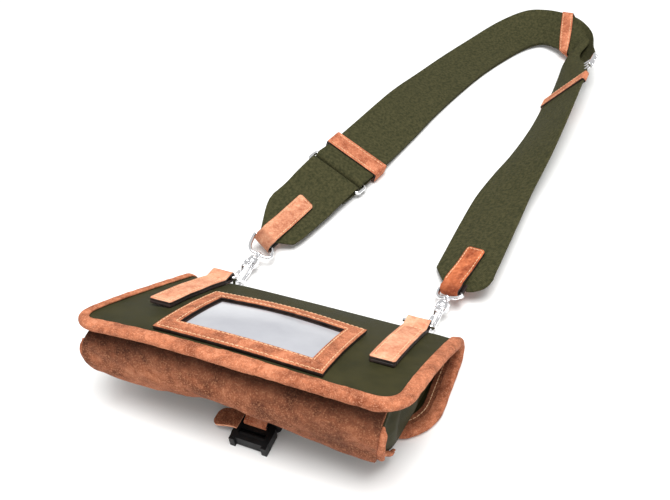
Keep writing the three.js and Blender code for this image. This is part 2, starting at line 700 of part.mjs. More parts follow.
// Slider: two end rails that carry three bars below the top layer
const slider = { rail: 2, halfRows: 0.45, barRows: 0.34, wire: 1.3, bars: -1.6, high: 2.4 };

function sliderGeometry() {
  const low = slider.bars - slider.wire;
  const reach = keeperRoom + slider.rail;
  const rail = (from, to) => loft([-1, 0, 1].map((k) => {
    const frame = strapFrame(sliderRow + k * slider.halfRows * (k > 0 ? 0.4 : 1));
    return boxOnStrap(frame, from, to, low, slider.high);
  }), false, sectionOutline);
  const bar = (row) => {
    const { p, across, normal, heading } = strapFrame(sliderRow + row);
    const ends = [-reach + 0.6, strapWidth + reach - 0.6];
    const frames = ends.map((w) => ({
      p: p.clone().addScaledVector(across, w).addScaledVector(normal, slider.bars),
      u: normal,
      v: heading,
    }));
    return sweep(circle(slider.wire, 8), frames, false);
  };
  return join(
    rail(-reach, -keeperRoom),
    rail(strapWidth + keeperRoom, strapWidth + reach),
    bar(-slider.barRows),
    bar(0),
    bar(slider.barRows * 0.4),
  );
}

part(bag, 'strap_slider', sliderGeometry(), chrome);

// Suede keepers: closed bands that follow the webbing
function bandRings({ row, halfRows, layers }, spare, grow) {
  const steps = 3;
  return Array.from({ length: steps + 1 }, (_, k) => {
    const frame = strapFrame(row + lerp(-halfRows - spare, halfRows + spare, k / steps));
    const low = (layers === 2 ? frame.low : frame.top) - strapThick / 2 - keeperRoom - grow;
    const high = frame.top + strapThick / 2 + keeperRoom + grow;
    const side = keeperRoom + grow;
    return boxOnStrap(frame, -side, frame.chord + side, low, high);
  });
}

for (const keeper of keepers) {
  const outside = toSolid(loft(bandRings(keeper, 0, keeperWall), false, sectionOutline));
  const inside = toSolid(loft(bandRings(keeper, 0.05, 0), false, sectionOutline));
  part(bag, keeper.name, fromSolid(outside.subtract(inside)), strapSuede);
}

// Snap hook: pieces drawn with X across the bow, Y along the hook and Z towards the gate
function hookBody() {
  const profile = [
    [barrel.bore, barrel.start], [barrel.radius - 0.4, barrel.start + 0.6], [barrel.radius, barrel.start + 2],
    [barrel.radius - 0.6, barrel.end - 0.6], [barrel.radius - 1.6, barrel.end], [barrel.bore, barrel.end],
    [barrel.bore, barrel.start],
  ].map(([x, y]) => new THREE.Vector2(x, y));
  const shank = [v3(0, 17.5, -3.4), v3(0, 12, -5.4), v3(0, 6, -bowRadius), v3(0, 0, -bowRadius)];
  for (let k = 1; k <= 4; k++) {
    const angle = (Math.PI * k) / 4;
    shank.push(v3(0, -bowRadius * Math.sin(angle), -bowRadius * Math.cos(angle)));
  }
  shank.push(v3(0, 2.6, bowRadius));
  const bow = new THREE.ExtrudeGeometry(new THREE.Shape(circle(hookWire, 8)), {
    steps: 18,
    bevelEnabled: false,
    extrudePath: new THREE.CatmullRomCurve3(shank),
  });
  const ears = [-1, 1].map((sign) =>
    new THREE.BoxGeometry(1.2, 4.2, 2.6).translate(sign * 2.3, 15, gateHinge.off));
  const pin = new THREE.CylinderGeometry(gateHinge.pin, gateHinge.pin, 5, 8);
  pin.rotateZ(Math.PI / 2).translate(0, gateHinge.along, gateHinge.off);
  return join(new THREE.LatheGeometry(profile, 14), bow, ...ears, pin);
}

// The gate swings about its own origin, on the hinge pin
function hookGate() {
  const tip = [
    new THREE.Vector2(1.4, 3.3), new THREE.Vector2(6.4, 4.4), new THREE.Vector2(7.6, 7.2),
    new THREE.Vector2(10.2, 7.4), new THREE.Vector2(11.2, 5.7),
  ];
  const back = [];
  for (let k = 0; k <= 6; k++) {
    const angle = degToRad(100 - (190 * k) / 6);
    const r = gateHinge.eyeRadius;
    back.push(new THREE.Vector2(gateHinge.along + r * Math.cos(angle), gateHinge.off + r * Math.sin(angle)));
  }
  const inner = new THREE.Vector2(1.4, 1.6);
  const hole = { y: gateHinge.along, z: gateHinge.off, radius: gateHinge.hole };
  const gate = slabAcross([...tip, ...back, inner], hole, 0, gateThick);
  return gate.translate(0, -gateHinge.along, -gateHinge.off);
}

function hookEye() {
  const loop = roundedLoop(eye.halfWidth, eye.near, eye.bar, 2 * eye.corner, eye.corner - 1.5, 4);
  const ring = wireLoop(loop, eye.wire, 8, v3(0, 0, 0), v3(1, 0, 0), v3(0, 1, 0));
  const post = new THREE.LatheGeometry([
    [0, stem.headStart], [stem.headRadius, stem.headStart], [stem.headRadius, stem.headEnd],
    [stem.radius, stem.headEnd], [stem.radius, eye.near + 0.4], [0, eye.near + 0.4],
  ].map(([x, y]) => new THREE.Vector2(x, y)), 12);
  return join(ring, post);
}

// Strap tab, drawn from the eye's bar: loops round it, then forks over and under the end of the webbing
function strapTabGeometry(length) {
  const { prong, fork, slot, loop, hole, width } = strapTab;
  const high = slot + prong;
  const outline = [
    [4, high], [length, high], [length, slot], [fork, slot],
    [fork, -slot], [length, -slot], [length, -high], [4, -high],
  ].map(([y, z]) => new THREE.Vector2(y, z));
  for (let k = 0; k <= 8; k++) {
    const angle = degToRad(290 - (220 * k) / 8);
    outline.push(new THREE.Vector2(loop * Math.cos(angle), loop * Math.sin(angle)));
  }
  return slabAcross(outline, { y: 0, z: 0, radius: hole }, 0, width);
}

// Both ends: ring tab, ring, hook and strap tab in a line from the bag to the webbing
function hookEnd({ side, x, hookOffset, strapTabLength, tabTurn }) {
  const frame = strapFrame(side === 'left' ? 0 : rowCount);
  const away = frame.heading.clone().multiplyScalar(side === 'left' ? 1 : -1);
  const aim = frame.p.clone().addScaledVector(frame.across, strapWidth / 2).addScaledVector(away, 30);
  const seat = v3(x + hookOffset, hookReachY, 0);
  seat.z = aim.z - (frame.normal.x * (seat.x - aim.x) + frame.normal.y * (seat.y - aim.y)) / frame.normal.z;
  const along = aim.clone().sub(seat).normalize();
  const bowMiddle = seat.clone().addScaledVector(along, ringSeat);

  part(bag, `ring_tab_${side}`, ringTabGeometry(x), paleSuede);
  const bar = tabBar(x);
  const drop = v3(0, seat.y - bar.y, seat.z - bar.z);
  const reach = drop.length();
  const loop = roundedLoop(tabRing.halfWidth, 0, reach, tabRing.corner - 1.5, tabRing.corner, 3);
  const ring = wireLoop(loop, tabRing.wire, 8, bar, v3(1, 0, 0), drop.normalize());
  part(bag, `tab_ring_${side}`, ring, chrome);

  const placed = (across, facing) => {
    const group = new THREE.Group();
    group.applyMatrix4(new THREE.Matrix4().makeBasis(across, along, facing).setPosition(bowMiddle));
    bag.add(group);
    return group;
  };
  const strapSide = placed(along.clone().cross(frame.normal), frame.normal);
  part(strapSide, `hook_eye_${side}`, hookEye(), chrome);
  const turned = new THREE.Group();
  turned.position.y = eye.bar;
  turned.rotation.z = degToRad(tabTurn);
  strapSide.add(turned);
  part(turned, `strap_tab_${side}`, strapTabGeometry(strapTabLength), strapSuede);

  const level = v3(-along.y, along.x, 0).normalize().negate();
  const hook = placed(level, level.clone().cross(along));
  part(hook, `hook_body_${side}`, hookBody(), chrome);
  const gate = part(hook, `hook_gate_${side}`, hookGate(), chrome);
  gate.position.set(0, gateHinge.along, gateHinge.off);
}

ringTabs.forEach(hookEnd);

// Closure buckle on the floor in front of the flap, and its straps
function plate(width, near, far, low, high, holes = []) {
  const half = width / 2;
  const shape = new THREE.Shape(roundedLoop(half, near, far, 3, 3, 3));
  for (const hole of holes) {
    shape.holes.push(new THREE.Path(roundedLoop(hole.half, hole.near, hole.far, 0.6, 0.6, 1).reverse()));
  }
  return new THREE.ExtrudeGeometry(shape, { depth: high - low, bevelEnabled: false }).translate(0, 0, low);
}

function boxBetween(x0, x1, y0, y1, z0, z1) {
  const box = new THREE.BoxGeometry(x1 - x0, y1 - y0, z1 - z0);
  return box.translate((x0 + x1) / 2, (y0 + y1) / 2, (z0 + z1) / 2);
}

const socket = { half: 10, low: 2.6, high: 6.4, depth: buckle.far - 9 };
const prongGap = 0.4;

function buckleFemale() {
  const strapSlot = { half: 9, near: buckle.far - 6.5, far: buckle.far - 3 };
  const { half, low, high, depth } = socket;
  const shell = plate(buckle.width, buckle.split + prongGap, buckle.far, 0, buckle.height, [strapSlot]);
  const hollow = boxBetween(-half, half, buckle.split - 1, depth, low, high);
  return fromSolid(toSolid(shell).subtract(toSolid(hollow)));
}

function buckleMale() {
  const strapSlot = { half: 9, near: buckle.near + 5, far: buckle.near + 9.5 };
  const base = plate(buckle.width, buckle.near + 1.5, buckle.split, 1, buckle.height - 1, [strapSlot]);
  const feet = [-1, 1].map((sign) => {
    const x = sign * (buckle.width / 2 - 2);
    return boxBetween(x - 1.8, x + 1.8, buckle.near, buckle.near + 6, 0, buckle.height - 1.6);
  });
  const low = socket.low + prongGap;
  const high = socket.high - prongGap;
  const prongs = [-7.4, 0, 7.4].map((x) =>
    boxBetween(x - 2, x + 2, buckle.split - 1, socket.depth - prongGap, low, high));
  return join(base, ...feet, ...prongs);
}

const closure = new THREE.Group();
closure.position.x = buckle.x;
bag.add(closure);
part(closure, 'buckle_female', buckleFemale(), plastic);
part(closure, 'buckle_male', buckleMale(), plastic);

// A strip of even thickness through points of its middle line in Y and Z
function strip(route, width) {
  const curve = new THREE.SplineCurve(route.map(([y, z]) => new THREE.Vector2(y, z)));
  const steps = 10;
  const offset = (sign) => Array.from({ length: steps + 1 }, (_, k) => {
    const tangent = curve.getTangent(k / steps);
    const side = new THREE.Vector2(-tangent.y, tangent.x).multiplyScalar((sign * closureStrap.thick) / 2);
    return curve.getPoint(k / steps).add(side);
  });
  return slabAcross([...offset(-1), ...offset(1).reverse()], null, 0, width);
}

const bagStrapRoute = [[-0.4, 9.35], [8, 10.9], [20, 15.2], [30, 19.7], [38, 20.1]];
const flapStrapRoute = [[27.5, 10.4], [36, 10.2], [46, 8], [56, 4.8], [64, 3.6]];
const tailRoute = [[-10, 10.35], [-14, 10.2], [-21, 8], [-29, 4.8]];
part(closure, 'closure_bag_strap', strip(bagStrapRoute, closureStrap.width), strapSuede);
part(closure, 'closure_flap_strap', strip(flapStrapRoute, closureStrap.width), strapSuede);
const tail = strip(tailRoute, closureStrap.tailWidth).rotateZ(-Math.PI / 2);
part(closure, 'closure_tail', tail.translate(0, closureStrap.tailY, 0), strapSuede);

export default bag;
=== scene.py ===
import json
import math

import bmesh
import bpy
import numpy as np
from mathutils import Matrix


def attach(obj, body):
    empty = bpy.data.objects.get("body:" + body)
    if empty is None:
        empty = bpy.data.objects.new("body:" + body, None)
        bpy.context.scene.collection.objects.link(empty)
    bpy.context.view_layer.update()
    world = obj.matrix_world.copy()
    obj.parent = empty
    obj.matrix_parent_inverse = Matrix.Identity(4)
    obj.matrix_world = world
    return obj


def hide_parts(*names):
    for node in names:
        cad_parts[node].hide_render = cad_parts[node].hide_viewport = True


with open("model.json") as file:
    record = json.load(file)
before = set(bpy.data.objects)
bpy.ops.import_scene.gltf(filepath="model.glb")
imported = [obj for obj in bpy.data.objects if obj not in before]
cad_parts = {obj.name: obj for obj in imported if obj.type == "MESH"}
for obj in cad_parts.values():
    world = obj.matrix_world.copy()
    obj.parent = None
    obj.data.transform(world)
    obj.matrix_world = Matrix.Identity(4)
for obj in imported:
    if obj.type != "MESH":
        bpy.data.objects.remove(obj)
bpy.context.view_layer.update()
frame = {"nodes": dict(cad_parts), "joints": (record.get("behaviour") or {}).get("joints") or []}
joints = {joint["name"]: joint for joint in frame["joints"]}
print("frame loaded with", len(frame["nodes"]), "nodes")

# lengths below are millimetres, y counted from the bag's bottom edge
restCentreY = 75.0
bagOrigin = np.array([0.0, restCentreY, 0.0])


def toFrame(points):
    return (np.asarray(points, float).reshape(-1, 3) - bagOrigin) * 0.001


# small vector tools
def unit(v):
    v = np.asarray(v, float)
    return v / np.maximum(np.linalg.norm(v, axis=-1, keepdims=True), 1e-12)


def lerp(a, b, t):
    return a + (b - a) * t


def ease(value, low, high):
    t = np.clip((np.asarray(value, float) - low) / (high - low), 0, 1)
    return t * t * (3 - 2 * t)


def xyz(x, y, z):
    return np.stack(np.broadcast_arrays(x, y, z), -1)


def waves(points, pitch, seed):
    # soft uneven lumps between about -1 and 1, the same on every run
    draw = np.random.default_rng(seed)
    total = 0.0
    for _ in range(7):
        way = unit(draw.normal(size=3)) * draw.uniform(0.6, 1.7)
        total = total + np.sin(points @ way * 2 * math.pi / pitch + draw.uniform(0, 2 * math.pi))
    return total / 4


def catmull(rows, share):
    pts = np.asarray(rows, float)
    spans = len(pts) - 1
    place = np.clip(np.asarray(share, float), 0, 1) * spans
    k = np.minimum(place.astype(int), spans - 1)
    t = (place - k)[:, None]
    ends = np.vstack([2 * pts[0] - pts[1], pts, 2 * pts[-1] - pts[-2]])
    before, a, b, after = ends[k], ends[k + 1], ends[k + 2], ends[k + 3]
    leave, arrive = (b - before) / 2, (after - a) / 2
    start = (2 * t**3 - 3 * t**2 + 1) * a + (t**3 - 2 * t**2 + t) * leave
    return start + (-2 * t**3 + 3 * t**2) * b + (t**3 - t**2) * arrive


def runOf(path, closed=False):
    loop = np.vstack([path, path[:1]]) if closed else path
    return np.concatenate([[0], np.cumsum(np.linalg.norm(np.diff(loop, axis=0), axis=1))])


def sampled(values, run, stations):
    values = np.asarray(values, float)
    if values.ndim == 1:
        return np.interp(stations, run, values)
    return np.stack([np.interp(stations, run, column) for column in values.T], -1)


# mesh building
def gridFaces(rows, cols, wrapRows=False, wrapCols=False):
    i = np.arange(rows if wrapRows else rows - 1)
    j = np.arange(cols if wrapCols else cols - 1)
    row, col = np.meshgrid(i, j, indexing="ij")
    nextRow, nextCol = (row + 1) % rows, (col + 1) % cols
    corners = [row * cols + col, nextRow * cols + col, nextRow * cols + nextCol, row * cols + nextCol]
    return np.stack(corners, -1).reshape(-1, 4)


def cappedFaces(rows, cols):
    # rings joined one to the next, with both ends closed
    ends = [list(range(cols)), list(range((rows - 1) * cols, rows * cols))]
    return gridFaces(rows, cols, wrapCols=True).tolist() + ends


def gridNormals(grid):
    return unit(np.cross(np.gradient(grid, axis=0), np.gradient(grid, axis=1)))


def shape(points, faces, lay=None, slots=None):
    points = np.asarray(points, float).reshape(-1, 3)
    faces = [list(map(int, face)) for face in faces]
    return {
        "points": points,
        "faces": faces,
        "lay": np.zeros_like(points) if lay is None else np.asarray(lay, float),
        "slots": [0] * len(faces) if slots is None else list(slots),
    }


def joined(shapes):
    points, faces, lay, slots, start = [], [], [], [], 0
    for part in shapes:
        points.append(part["points"])
        lay.append(part["lay"])
        slots += part["slots"]
        faces += [[start + k for k in face] for face in part["faces"]]
        start += len(part["points"])
    return {"points": np.vstack(points), "faces": faces, "lay": np.vstack(lay), "slots": slots}


def placed(part, origin, x, y, z):
    # a shape drawn in its own axes, set down in the bag's
    moved = dict(part)
    p = part["points"]
    moved["points"] = origin + p[:, :1] * x + p[:, 1:2] * y + p[:, 2:] * z
    return moved


def makePiece(name, part, materials, body="bag", replaced=(), sharp=None):
    mesh = bpy.data.meshes.new(name)
    points = toFrame(part["points"])
    points[:, 2] = np.maximum(points[:, 2], 0.0)  # nothing reaches into the floor
    mesh.from_pydata(points.tolist(), [], part["faces"])
    for material in materials:
        mesh.materials.append(material)
    mesh.polygons.foreach_set("material_index", part["slots"])
    lay = mesh.attributes.new("lay", "FLOAT_VECTOR", "POINT")
    lay.data.foreach_set("vector", part["lay"].astype(np.float32).ravel())
    work = bmesh.new()
    work.from_mesh(mesh)
    bmesh.ops.recalc_face_normals(work, faces=work.faces)
    work.to_mesh(mesh)
    work.free()
    mesh.polygons.foreach_set("use_smooth", [True] * len(mesh.polygons))
    if sharp:
        mesh.set_sharp_from_angle(angle=math.radians(sharp))
    piece = bpy.data.objects.new(name, mesh)
    bpy.context.scene.collection.objects.link(piece)
    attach(piece, body)
    if replaced:
        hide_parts(*replaced)
    return piece


def layOf(grid):
    # distances across and along a grid, for weaves
    rows, cols = grid.shape[:2]
    across = np.zeros((rows, cols))
    across[:, 1:] = np.cumsum(np.linalg.norm(np.diff(grid, axis=1), axis=2), axis=1)
    along = np.zeros((rows, cols))
    along[1:] = np.cumsum(np.linalg.norm(np.diff(grid, axis=0), axis=2), axis=0)
    return xyz(across, along, 0.0).reshape(-1, 3)


def rimOf(rows, cols):
    top = [(0, k) for k in range(cols - 1)]
    far = [(k, cols - 1) for k in range(rows - 1)]
    back = [(rows - 1, cols - 1 - k) for k in range(cols - 1)]
    near = [(rows - 1 - k, 0) for k in range(rows - 1)]
    return top + far + back + near


def wallShape(grid, thick, bulge=0.35):
    # an even wall behind a grid of outer points, its rim softly rounded
    rows, cols = grid.shape[:2]
    outer = grid.reshape(-1, 3)
    inner = (grid - gridNormals(grid) * thick).reshape(-1, 3)
    stops = rimOf(rows, cols)
    rim = np.array([i * cols + j for i, j in stops])
    inside = np.array([min(max(i, 1), rows - 2) * cols + min(max(j, 1), cols - 2) for i, j in stops])
    edge = (outer[rim] + inner[rim]) / 2 + unit(outer[rim] - outer[inside]) * thick * bulge
    count = rows * cols
    here = np.arange(len(rim))
    after = np.roll(here, -1)
    sheetFaces = gridFaces(rows, cols)
    upper = np.stack([rim, rim[after], 2 * count + after, 2 * count + here], -1)
    lower = np.stack([count + rim, 2 * count + here, 2 * count + after, count + rim[after]], -1)
    lay = layOf(grid)
    faces = np.vstack([sheetFaces, sheetFaces[:, ::-1] + count, upper, lower])
    return shape(np.vstack([outer, inner, edge]), faces, np.vstack([lay, lay, lay[rim]]))


def sweepShape(sections, centres, u, v, closed):
    # sections: one outline for each centre, or one for all
    sections = np.asarray(sections, float)
    if sections.ndim == 2:
        sections = np.repeat(sections[None], len(centres), 0)
    rings = centres[:, None] + sections[..., :1] * u[:, None] + sections[..., 1:] * v[:, None]
    rows, cols = rings.shape[:2]
    faces = gridFaces(rows, cols, wrapRows=True, wrapCols=True) if closed else cappedFaces(rows, cols)
    return shape(rings, faces)


def tubeShape(path, radius, sides=14, closed=False, up=(0, 0, 1), squeeze=1.0):
    # round wire along a path, with domed ends where it is open
    path = np.asarray(path, float)
    radius = np.broadcast_to(np.asarray(radius, float), (len(path),)).copy()
    up = np.broadcast_to(np.asarray(up, float), path.shape)
    if closed:
        tangent = unit(np.roll(path, -1, 0) - np.roll(path, 1, 0))
    else:
        tangent = unit(np.gradient(path, axis=0))
        turns = np.radians([15, 40, 65, 85])
        head = [path[0] - tangent[0] * radius[0] * math.sin(a) for a in turns[::-1]]
        tail = [path[-1] + tangent[-1] * radius[-1] * math.sin(a) for a in turns]
        radius = np.concatenate([radius[0] * np.cos(turns[::-1]), radius, radius[-1] * np.cos(turns)])
        path = np.vstack([head, path, tail])
        tangent, up = (np.vstack([np.repeat(a[:1], 4, 0), a, np.repeat(a[-1:], 4, 0)]) for a in (tangent, up))
    u = unit(up - (up * tangent).sum(1, keepdims=True) * tangent)
    v = np.cross(tangent, u)
    angle = np.linspace(0, 2 * math.pi, sides, endpoint=False)
    ring = np.stack([np.cos(angle) * squeeze, np.sin(angle)], -1)
    return sweepShape(radius[:, None, None] * ring[None], path, u, v, closed)


def roundedLoop(halfWidth, near, far, nearCorner, farCorner, steps=8, straight=6):
    corners = [
        (halfWidth - farCorner, far - farCorner, farCorner, 0),
        (-halfWidth + farCorner, far - farCorner, farCorner, 90),
        (-halfWidth + nearCorner, near + nearCorner, nearCorner, 180),
        (halfWidth - nearCorner, near + nearCorner, nearCorner, 270),
    ]
    points = []
    for x, y, r, start in corners:
        angle = np.radians(start + np.linspace(0, 90, steps + 1))
        points.append(np.stack([x + r * np.cos(angle), y + r * np.sin(angle)], -1))
    loop = []
    for k, arc in enumerate(points):
        following = points[(k + 1) % 4][0]
        loop.append(arc)
        loop.append(lerp(arc[-1], following, np.linspace(0, 1, straight + 2)[1:-1, None]))
    return np.vstack(loop)


def latheShape(profile, sides=28):
    # profile rows are (radius, place along y), from one end on the axis to the other
    angle = np.linspace(0, 2 * math.pi, sides, endpoint=False)
    rings = [xyz(r * np.cos(angle), y, r * np.sin(angle)) for r, y in profile]
    return shape(np.vstack(rings), cappedFaces(len(profile), sides))


# strips cut from a sheet: tabs, straps and webbing
def ribbon(path, side, width, thick, trim=None, columns=8, edge=0.35, step=2.0, cup=None):
    path = np.asarray(path, float)
    run = runOf(path)
    total = run[-1]
    inner = np.linspace(edge, total - edge, max(3, int(total / step)))
    stations = np.concatenate([[0, edge * 0.3], inner, [total - edge * 0.3, total]])
    side = np.broadcast_to(np.asarray(side, float), path.shape)
    width = np.broadcast_to(np.asarray(width, float), (len(path),))
    cupped = np.zeros(len(path)) if cup is None else cup
    centre = sampled(path, run, stations)
    across = unit(sampled(side, run, stations))
    full = sampled(width, run, stations) / 2
    near, far = (0 * full, 0 * full) if trim is None else trim(stations, total)
    tangent = unit(np.gradient(centre, stations, axis=0))
    normal = unit(np.cross(tangent, across))
    return {
        "s": stations, "centre": centre, "across": across, "normal": normal,
        "full": full, "half": full - (near + far) / 2, "shift": (near - far) / 2,
        "thick": thick, "edge": edge, "columns": columns, "total": total,
        "cup": sampled(cupped, run, stations),
    }


def onRibbon(strip, s, w, high):
    # a point at a distance along the strip, a place across it and a height over its middle
    centre = sampled(strip["centre"], strip["s"], s)
    across = sampled(strip["across"], strip["s"], s)
    normal = unit(sampled(strip["normal"], strip["s"], s))
    full = np.interp(s, strip["s"], strip["full"])
    dome = np.interp(s, strip["s"], strip["cup"]) * (1 - np.clip(w / full, -1, 1) ** 2)
    return centre + across * w[:, None] + normal * (high + dome)[:, None], normal


def ribbonShape(strip, darkUntil=0.0, darkBack=False):
    # cut edges take the second material, and so do the first stretch and the back if asked
    edge, thick, columns = strip["edge"], strip["thick"], strip["columns"]
    low, mid, top = thick / 2 - edge, thick / 2 - 0.3 * edge, thick / 2
    flat = np.linspace(-1, 1, columns + 1)
    inset = np.concatenate([[0, 0.3 * edge], np.full(columns + 1, edge), [0.3 * edge, 0]])
    sign = np.concatenate([[-1, -1], flat, [1, 1]])
    height = np.concatenate([[low, mid], np.full(columns + 1, top), [mid, low]])
    ends = np.full(len(strip["s"]), 1.0)
    ends[[0, -1]] = low / top
    ends[[1, -2]] = mid / top
    w = strip["shift"][:, None] + sign * np.maximum(strip["half"][:, None] - inset, 0.05)
    dome = strip["cup"][:, None] * (1 - (w / strip["full"][:, None]) ** 2)
    normal, across, centre = strip["normal"][:, None], strip["across"][:, None], strip["centre"][:, None]
    upper = centre + across * w[..., None] + normal * (height * ends[:, None] + dome)[..., None]
    lower = centre + across * w[..., None] + normal * (-height * ends[:, None] + dome)[..., None]
    rings = np.concatenate([upper, lower[:, ::-1]], 1)
    rows, cols = rings.shape[:2]
    faces = gridFaces(rows, cols, wrapCols=True)
    column = np.tile(np.arange(cols), rows - 1)
    start = np.repeat(strip["s"][:-1], cols)
    slots = ((column == cols // 2 - 1) | (column == cols - 1) | (start < darkUntil))
    slots = (slots | (darkBack & (column >= cols // 2))).astype(int).tolist()
    faces = faces.tolist()
    for start in (0, (rows - 1) * cols):
        for j in range(cols // 2 - 1):
            faces.append([start + j, start + j + 1, start + cols - 2 - j, start + cols - 1 - j])
            slots.append(1)
    place = np.concatenate([w, w[:, ::-1]], 1)
    lay = xyz(place, strip["s"][:, None], 0.0)
    return shape(rings, faces, lay.reshape(-1, 3), slots)


def roundedTrim(start, end):
    # rounded corners at the two ends of a strip
    def trim(s, total):
        inset = np.zeros_like(s)
        for radius, away in ((start, s), (end, total - s)):
            if radius:
                gone = np.clip(radius - away, 0, radius)
                inset = np.maximum(inset, radius - np.sqrt(radius**2 - gone**2))
        return inset, inset
    return trim


sew = {"pitch": 3.1, "length": 2.2, "radius": 0.28, "rise": 1.3, "sink": 0.55}


def stitchShape(path, normal):
    # a row of thread stitches along a path: each dips into the sheet at both ends
    run = runOf(path)
    count = max(1, int(run[-1] / sew["pitch"]))
    starts = (np.arange(count) + 0.5) * run[-1] / count - sew["length"] / 2
    bits = []
    bend = np.linspace(0, 1, 6)
    for start in starts:
        s = start + bend * sew["length"]
        rise = sew["radius"] * (sew["rise"] * np.sin(math.pi * bend) - sew["sink"])
        up = unit(sampled(normal, run, s))
        bits.append(tubeShape(sampled(path, run, s) + up * rise[:, None], sew["radius"], 6, up=up))
    return joined(bits)


def threadRoute(first, last, reach, closed=False):
    # down one side of a strip, across its end and up the other side; closed crosses back as well
    side, end = np.linspace(first, last, 40), np.linspace(reach, -reach, 12)
    s = [side, np.full(12, last), side[::-1]]
    w = [np.full(40, reach), end, np.full(40, -reach)]
    if closed:
        s.append(np.full(12, first))
        w.append(-end)
    return np.concatenate(s), np.concatenate(w)


def sewnRow(strip, s, w):
    # thread on the side of a strip that faces up
    high = np.full(len(s), strip["thick"] / 2)
    points, normal = onRibbon(strip, s, w, high)
    if normal[0][2] < 0:
        points, normal = onRibbon(strip, s, w, -high)
        normal = -normal
    return stitchShape(points, normal)


print("tools ready")


# colours are given as they look, 0 to 255
def paint(*shades):
    linear = [(c / 255 / 12.92) if c < 10 else ((c / 255 + 0.055) / 1.055) ** 2.4 for c in shades]
    return (*linear, 1.0)


def addNode(tree, kind, inputs=None, **settings):
    made = tree.nodes.new(kind)
    for name, value in settings.items():
        setattr(made, name, value)
    for key, value in (inputs or {}).items():
        if isinstance(value, bpy.types.NodeSocket):
            tree.links.new(value, made.inputs[key])
        else:
            made.inputs[key].default_value = value
    return made


def calc(tree, operation, a, b=0.0):
    return addNode(tree, "ShaderNodeMath", {0: a, 1: b}, operation=operation).outputs[0]


def remap(tree, value, low, high, start=0.0, end=1.0):
    inputs = {"Value": value, "From Min": low, "From Max": high, "To Min": start, "To Max": end}
    return addNode(tree, "ShaderNodeMapRange", inputs).outputs["Result"]


def mixColour(tree, factor, a, b, blend="MIX"):
    inputs = {0: factor, 6: a, 7: b}
    return addNode(tree, "ShaderNodeMix", inputs, data_type="RGBA", blend_type=blend).outputs[2]


def noise(tree, place, scale, detail, rough=0.55):
    inputs = {"Vector": place, "Scale": scale, "Detail": detail, "Roughness": rough}
    return addNode(tree, "ShaderNodeTexNoise", inputs).outputs["Fac"]


def newGroup(name, inputs, outputs):
    tree = bpy.data.node_groups.new(name, "ShaderNodeTree")
    for label, kind, value in inputs:
        tree.interface.new_socket(name=label, in_out="INPUT", socket_type=kind).default_value = value
    for label, kind in outputs:
        tree.interface.new_socket(name=label, in_out="OUTPUT", socket_type=kind)
    return tree, tree.nodes.new("NodeGroupInput").outputs, tree.nodes.new("NodeGroupOutput").inputs


number, colour = "NodeSocketFloat", "NodeSocketColor"


def suedeNapGroup():
    # brushed nap: large soft patches, a short grain and scattered pale and dark hairs
    inputs = [
        ("Base", colour, (0.5, 0.3, 0.2, 1)), ("Shade", colour, (0.3, 0.15, 0.1, 1)),
        ("Bloom", colour, (0.8, 0.6, 0.5, 1)), ("Patch", number, 60.0), ("Grain", number, 900.0),
        ("Speckle", number, 0.5),
    ]
    outputs = [("Colour", colour), ("Rough", number), ("Height", number)]
    tree, given, out = newGroup("suedeNap", inputs, outputs)
    place = addNode(tree, "ShaderNodeTexCoord").outputs["Object"]
    patch = noise(tree, place, given["Patch"], 3.0)
    rub = noise(tree, place, calc(tree, "MULTIPLY", given["Patch"], 4.3), 4.0, 0.6)
    grain = noise(tree, place, given["Grain"], 3.0, 0.65)
    hair = noise(tree, place, calc(tree, "MULTIPLY", given["Grain"], 2.3), 2.0, 0.6)
    worn = calc(tree, "ADD", calc(tree, "MULTIPLY", patch, 0.55), calc(tree, "MULTIPLY", rub, 0.45))
    ground = mixColour(tree, remap(tree, worn, 0.38, 0.58), given["Shade"], given["Base"])
    lifted = calc(tree, "MULTIPLY", remap(tree, grain, 0.5, 0.72), given["Speckle"])
    bloomed = mixColour(tree, lifted, ground, given["Bloom"])
    brushed = mixColour(tree, remap(tree, worn, 0.56, 0.72, 0.0, 0.45), bloomed, given["Bloom"])
    pits = calc(tree, "MULTIPLY", remap(tree, hair, 0.56, 0.74), given["Speckle"])
    dark = mixColour(tree, calc(tree, "MULTIPLY", pits, 0.7), brushed, given["Shade"])
    lay = addNode(tree, "ShaderNodeAttribute", attribute_name="lay").outputs["Vector"]
    seam = addNode(tree, "ShaderNodeSeparateXYZ", {0: lay}).outputs["Z"]  # painted shade, with some seam dirt under the binding: the third value of lay darkens the nap
    shadedAndGrimy = mixColour(tree, calc(tree, "MULTIPLY", seam, 0.85), dark, (0.016, 0.007, 0.004, 1))
    tree.links.new(shadedAndGrimy, out["Colour"])
    tree.links.new(remap(tree, worn, 0.3, 0.7, 0.96, 0.82), out["Rough"])
    relief = calc(tree, "ADD", calc(tree, "MULTIPLY", grain, 0.6), calc(tree, "MULTIPLY", hair, 0.4))
    tree.links.new(relief, out["Height"])
    return tree


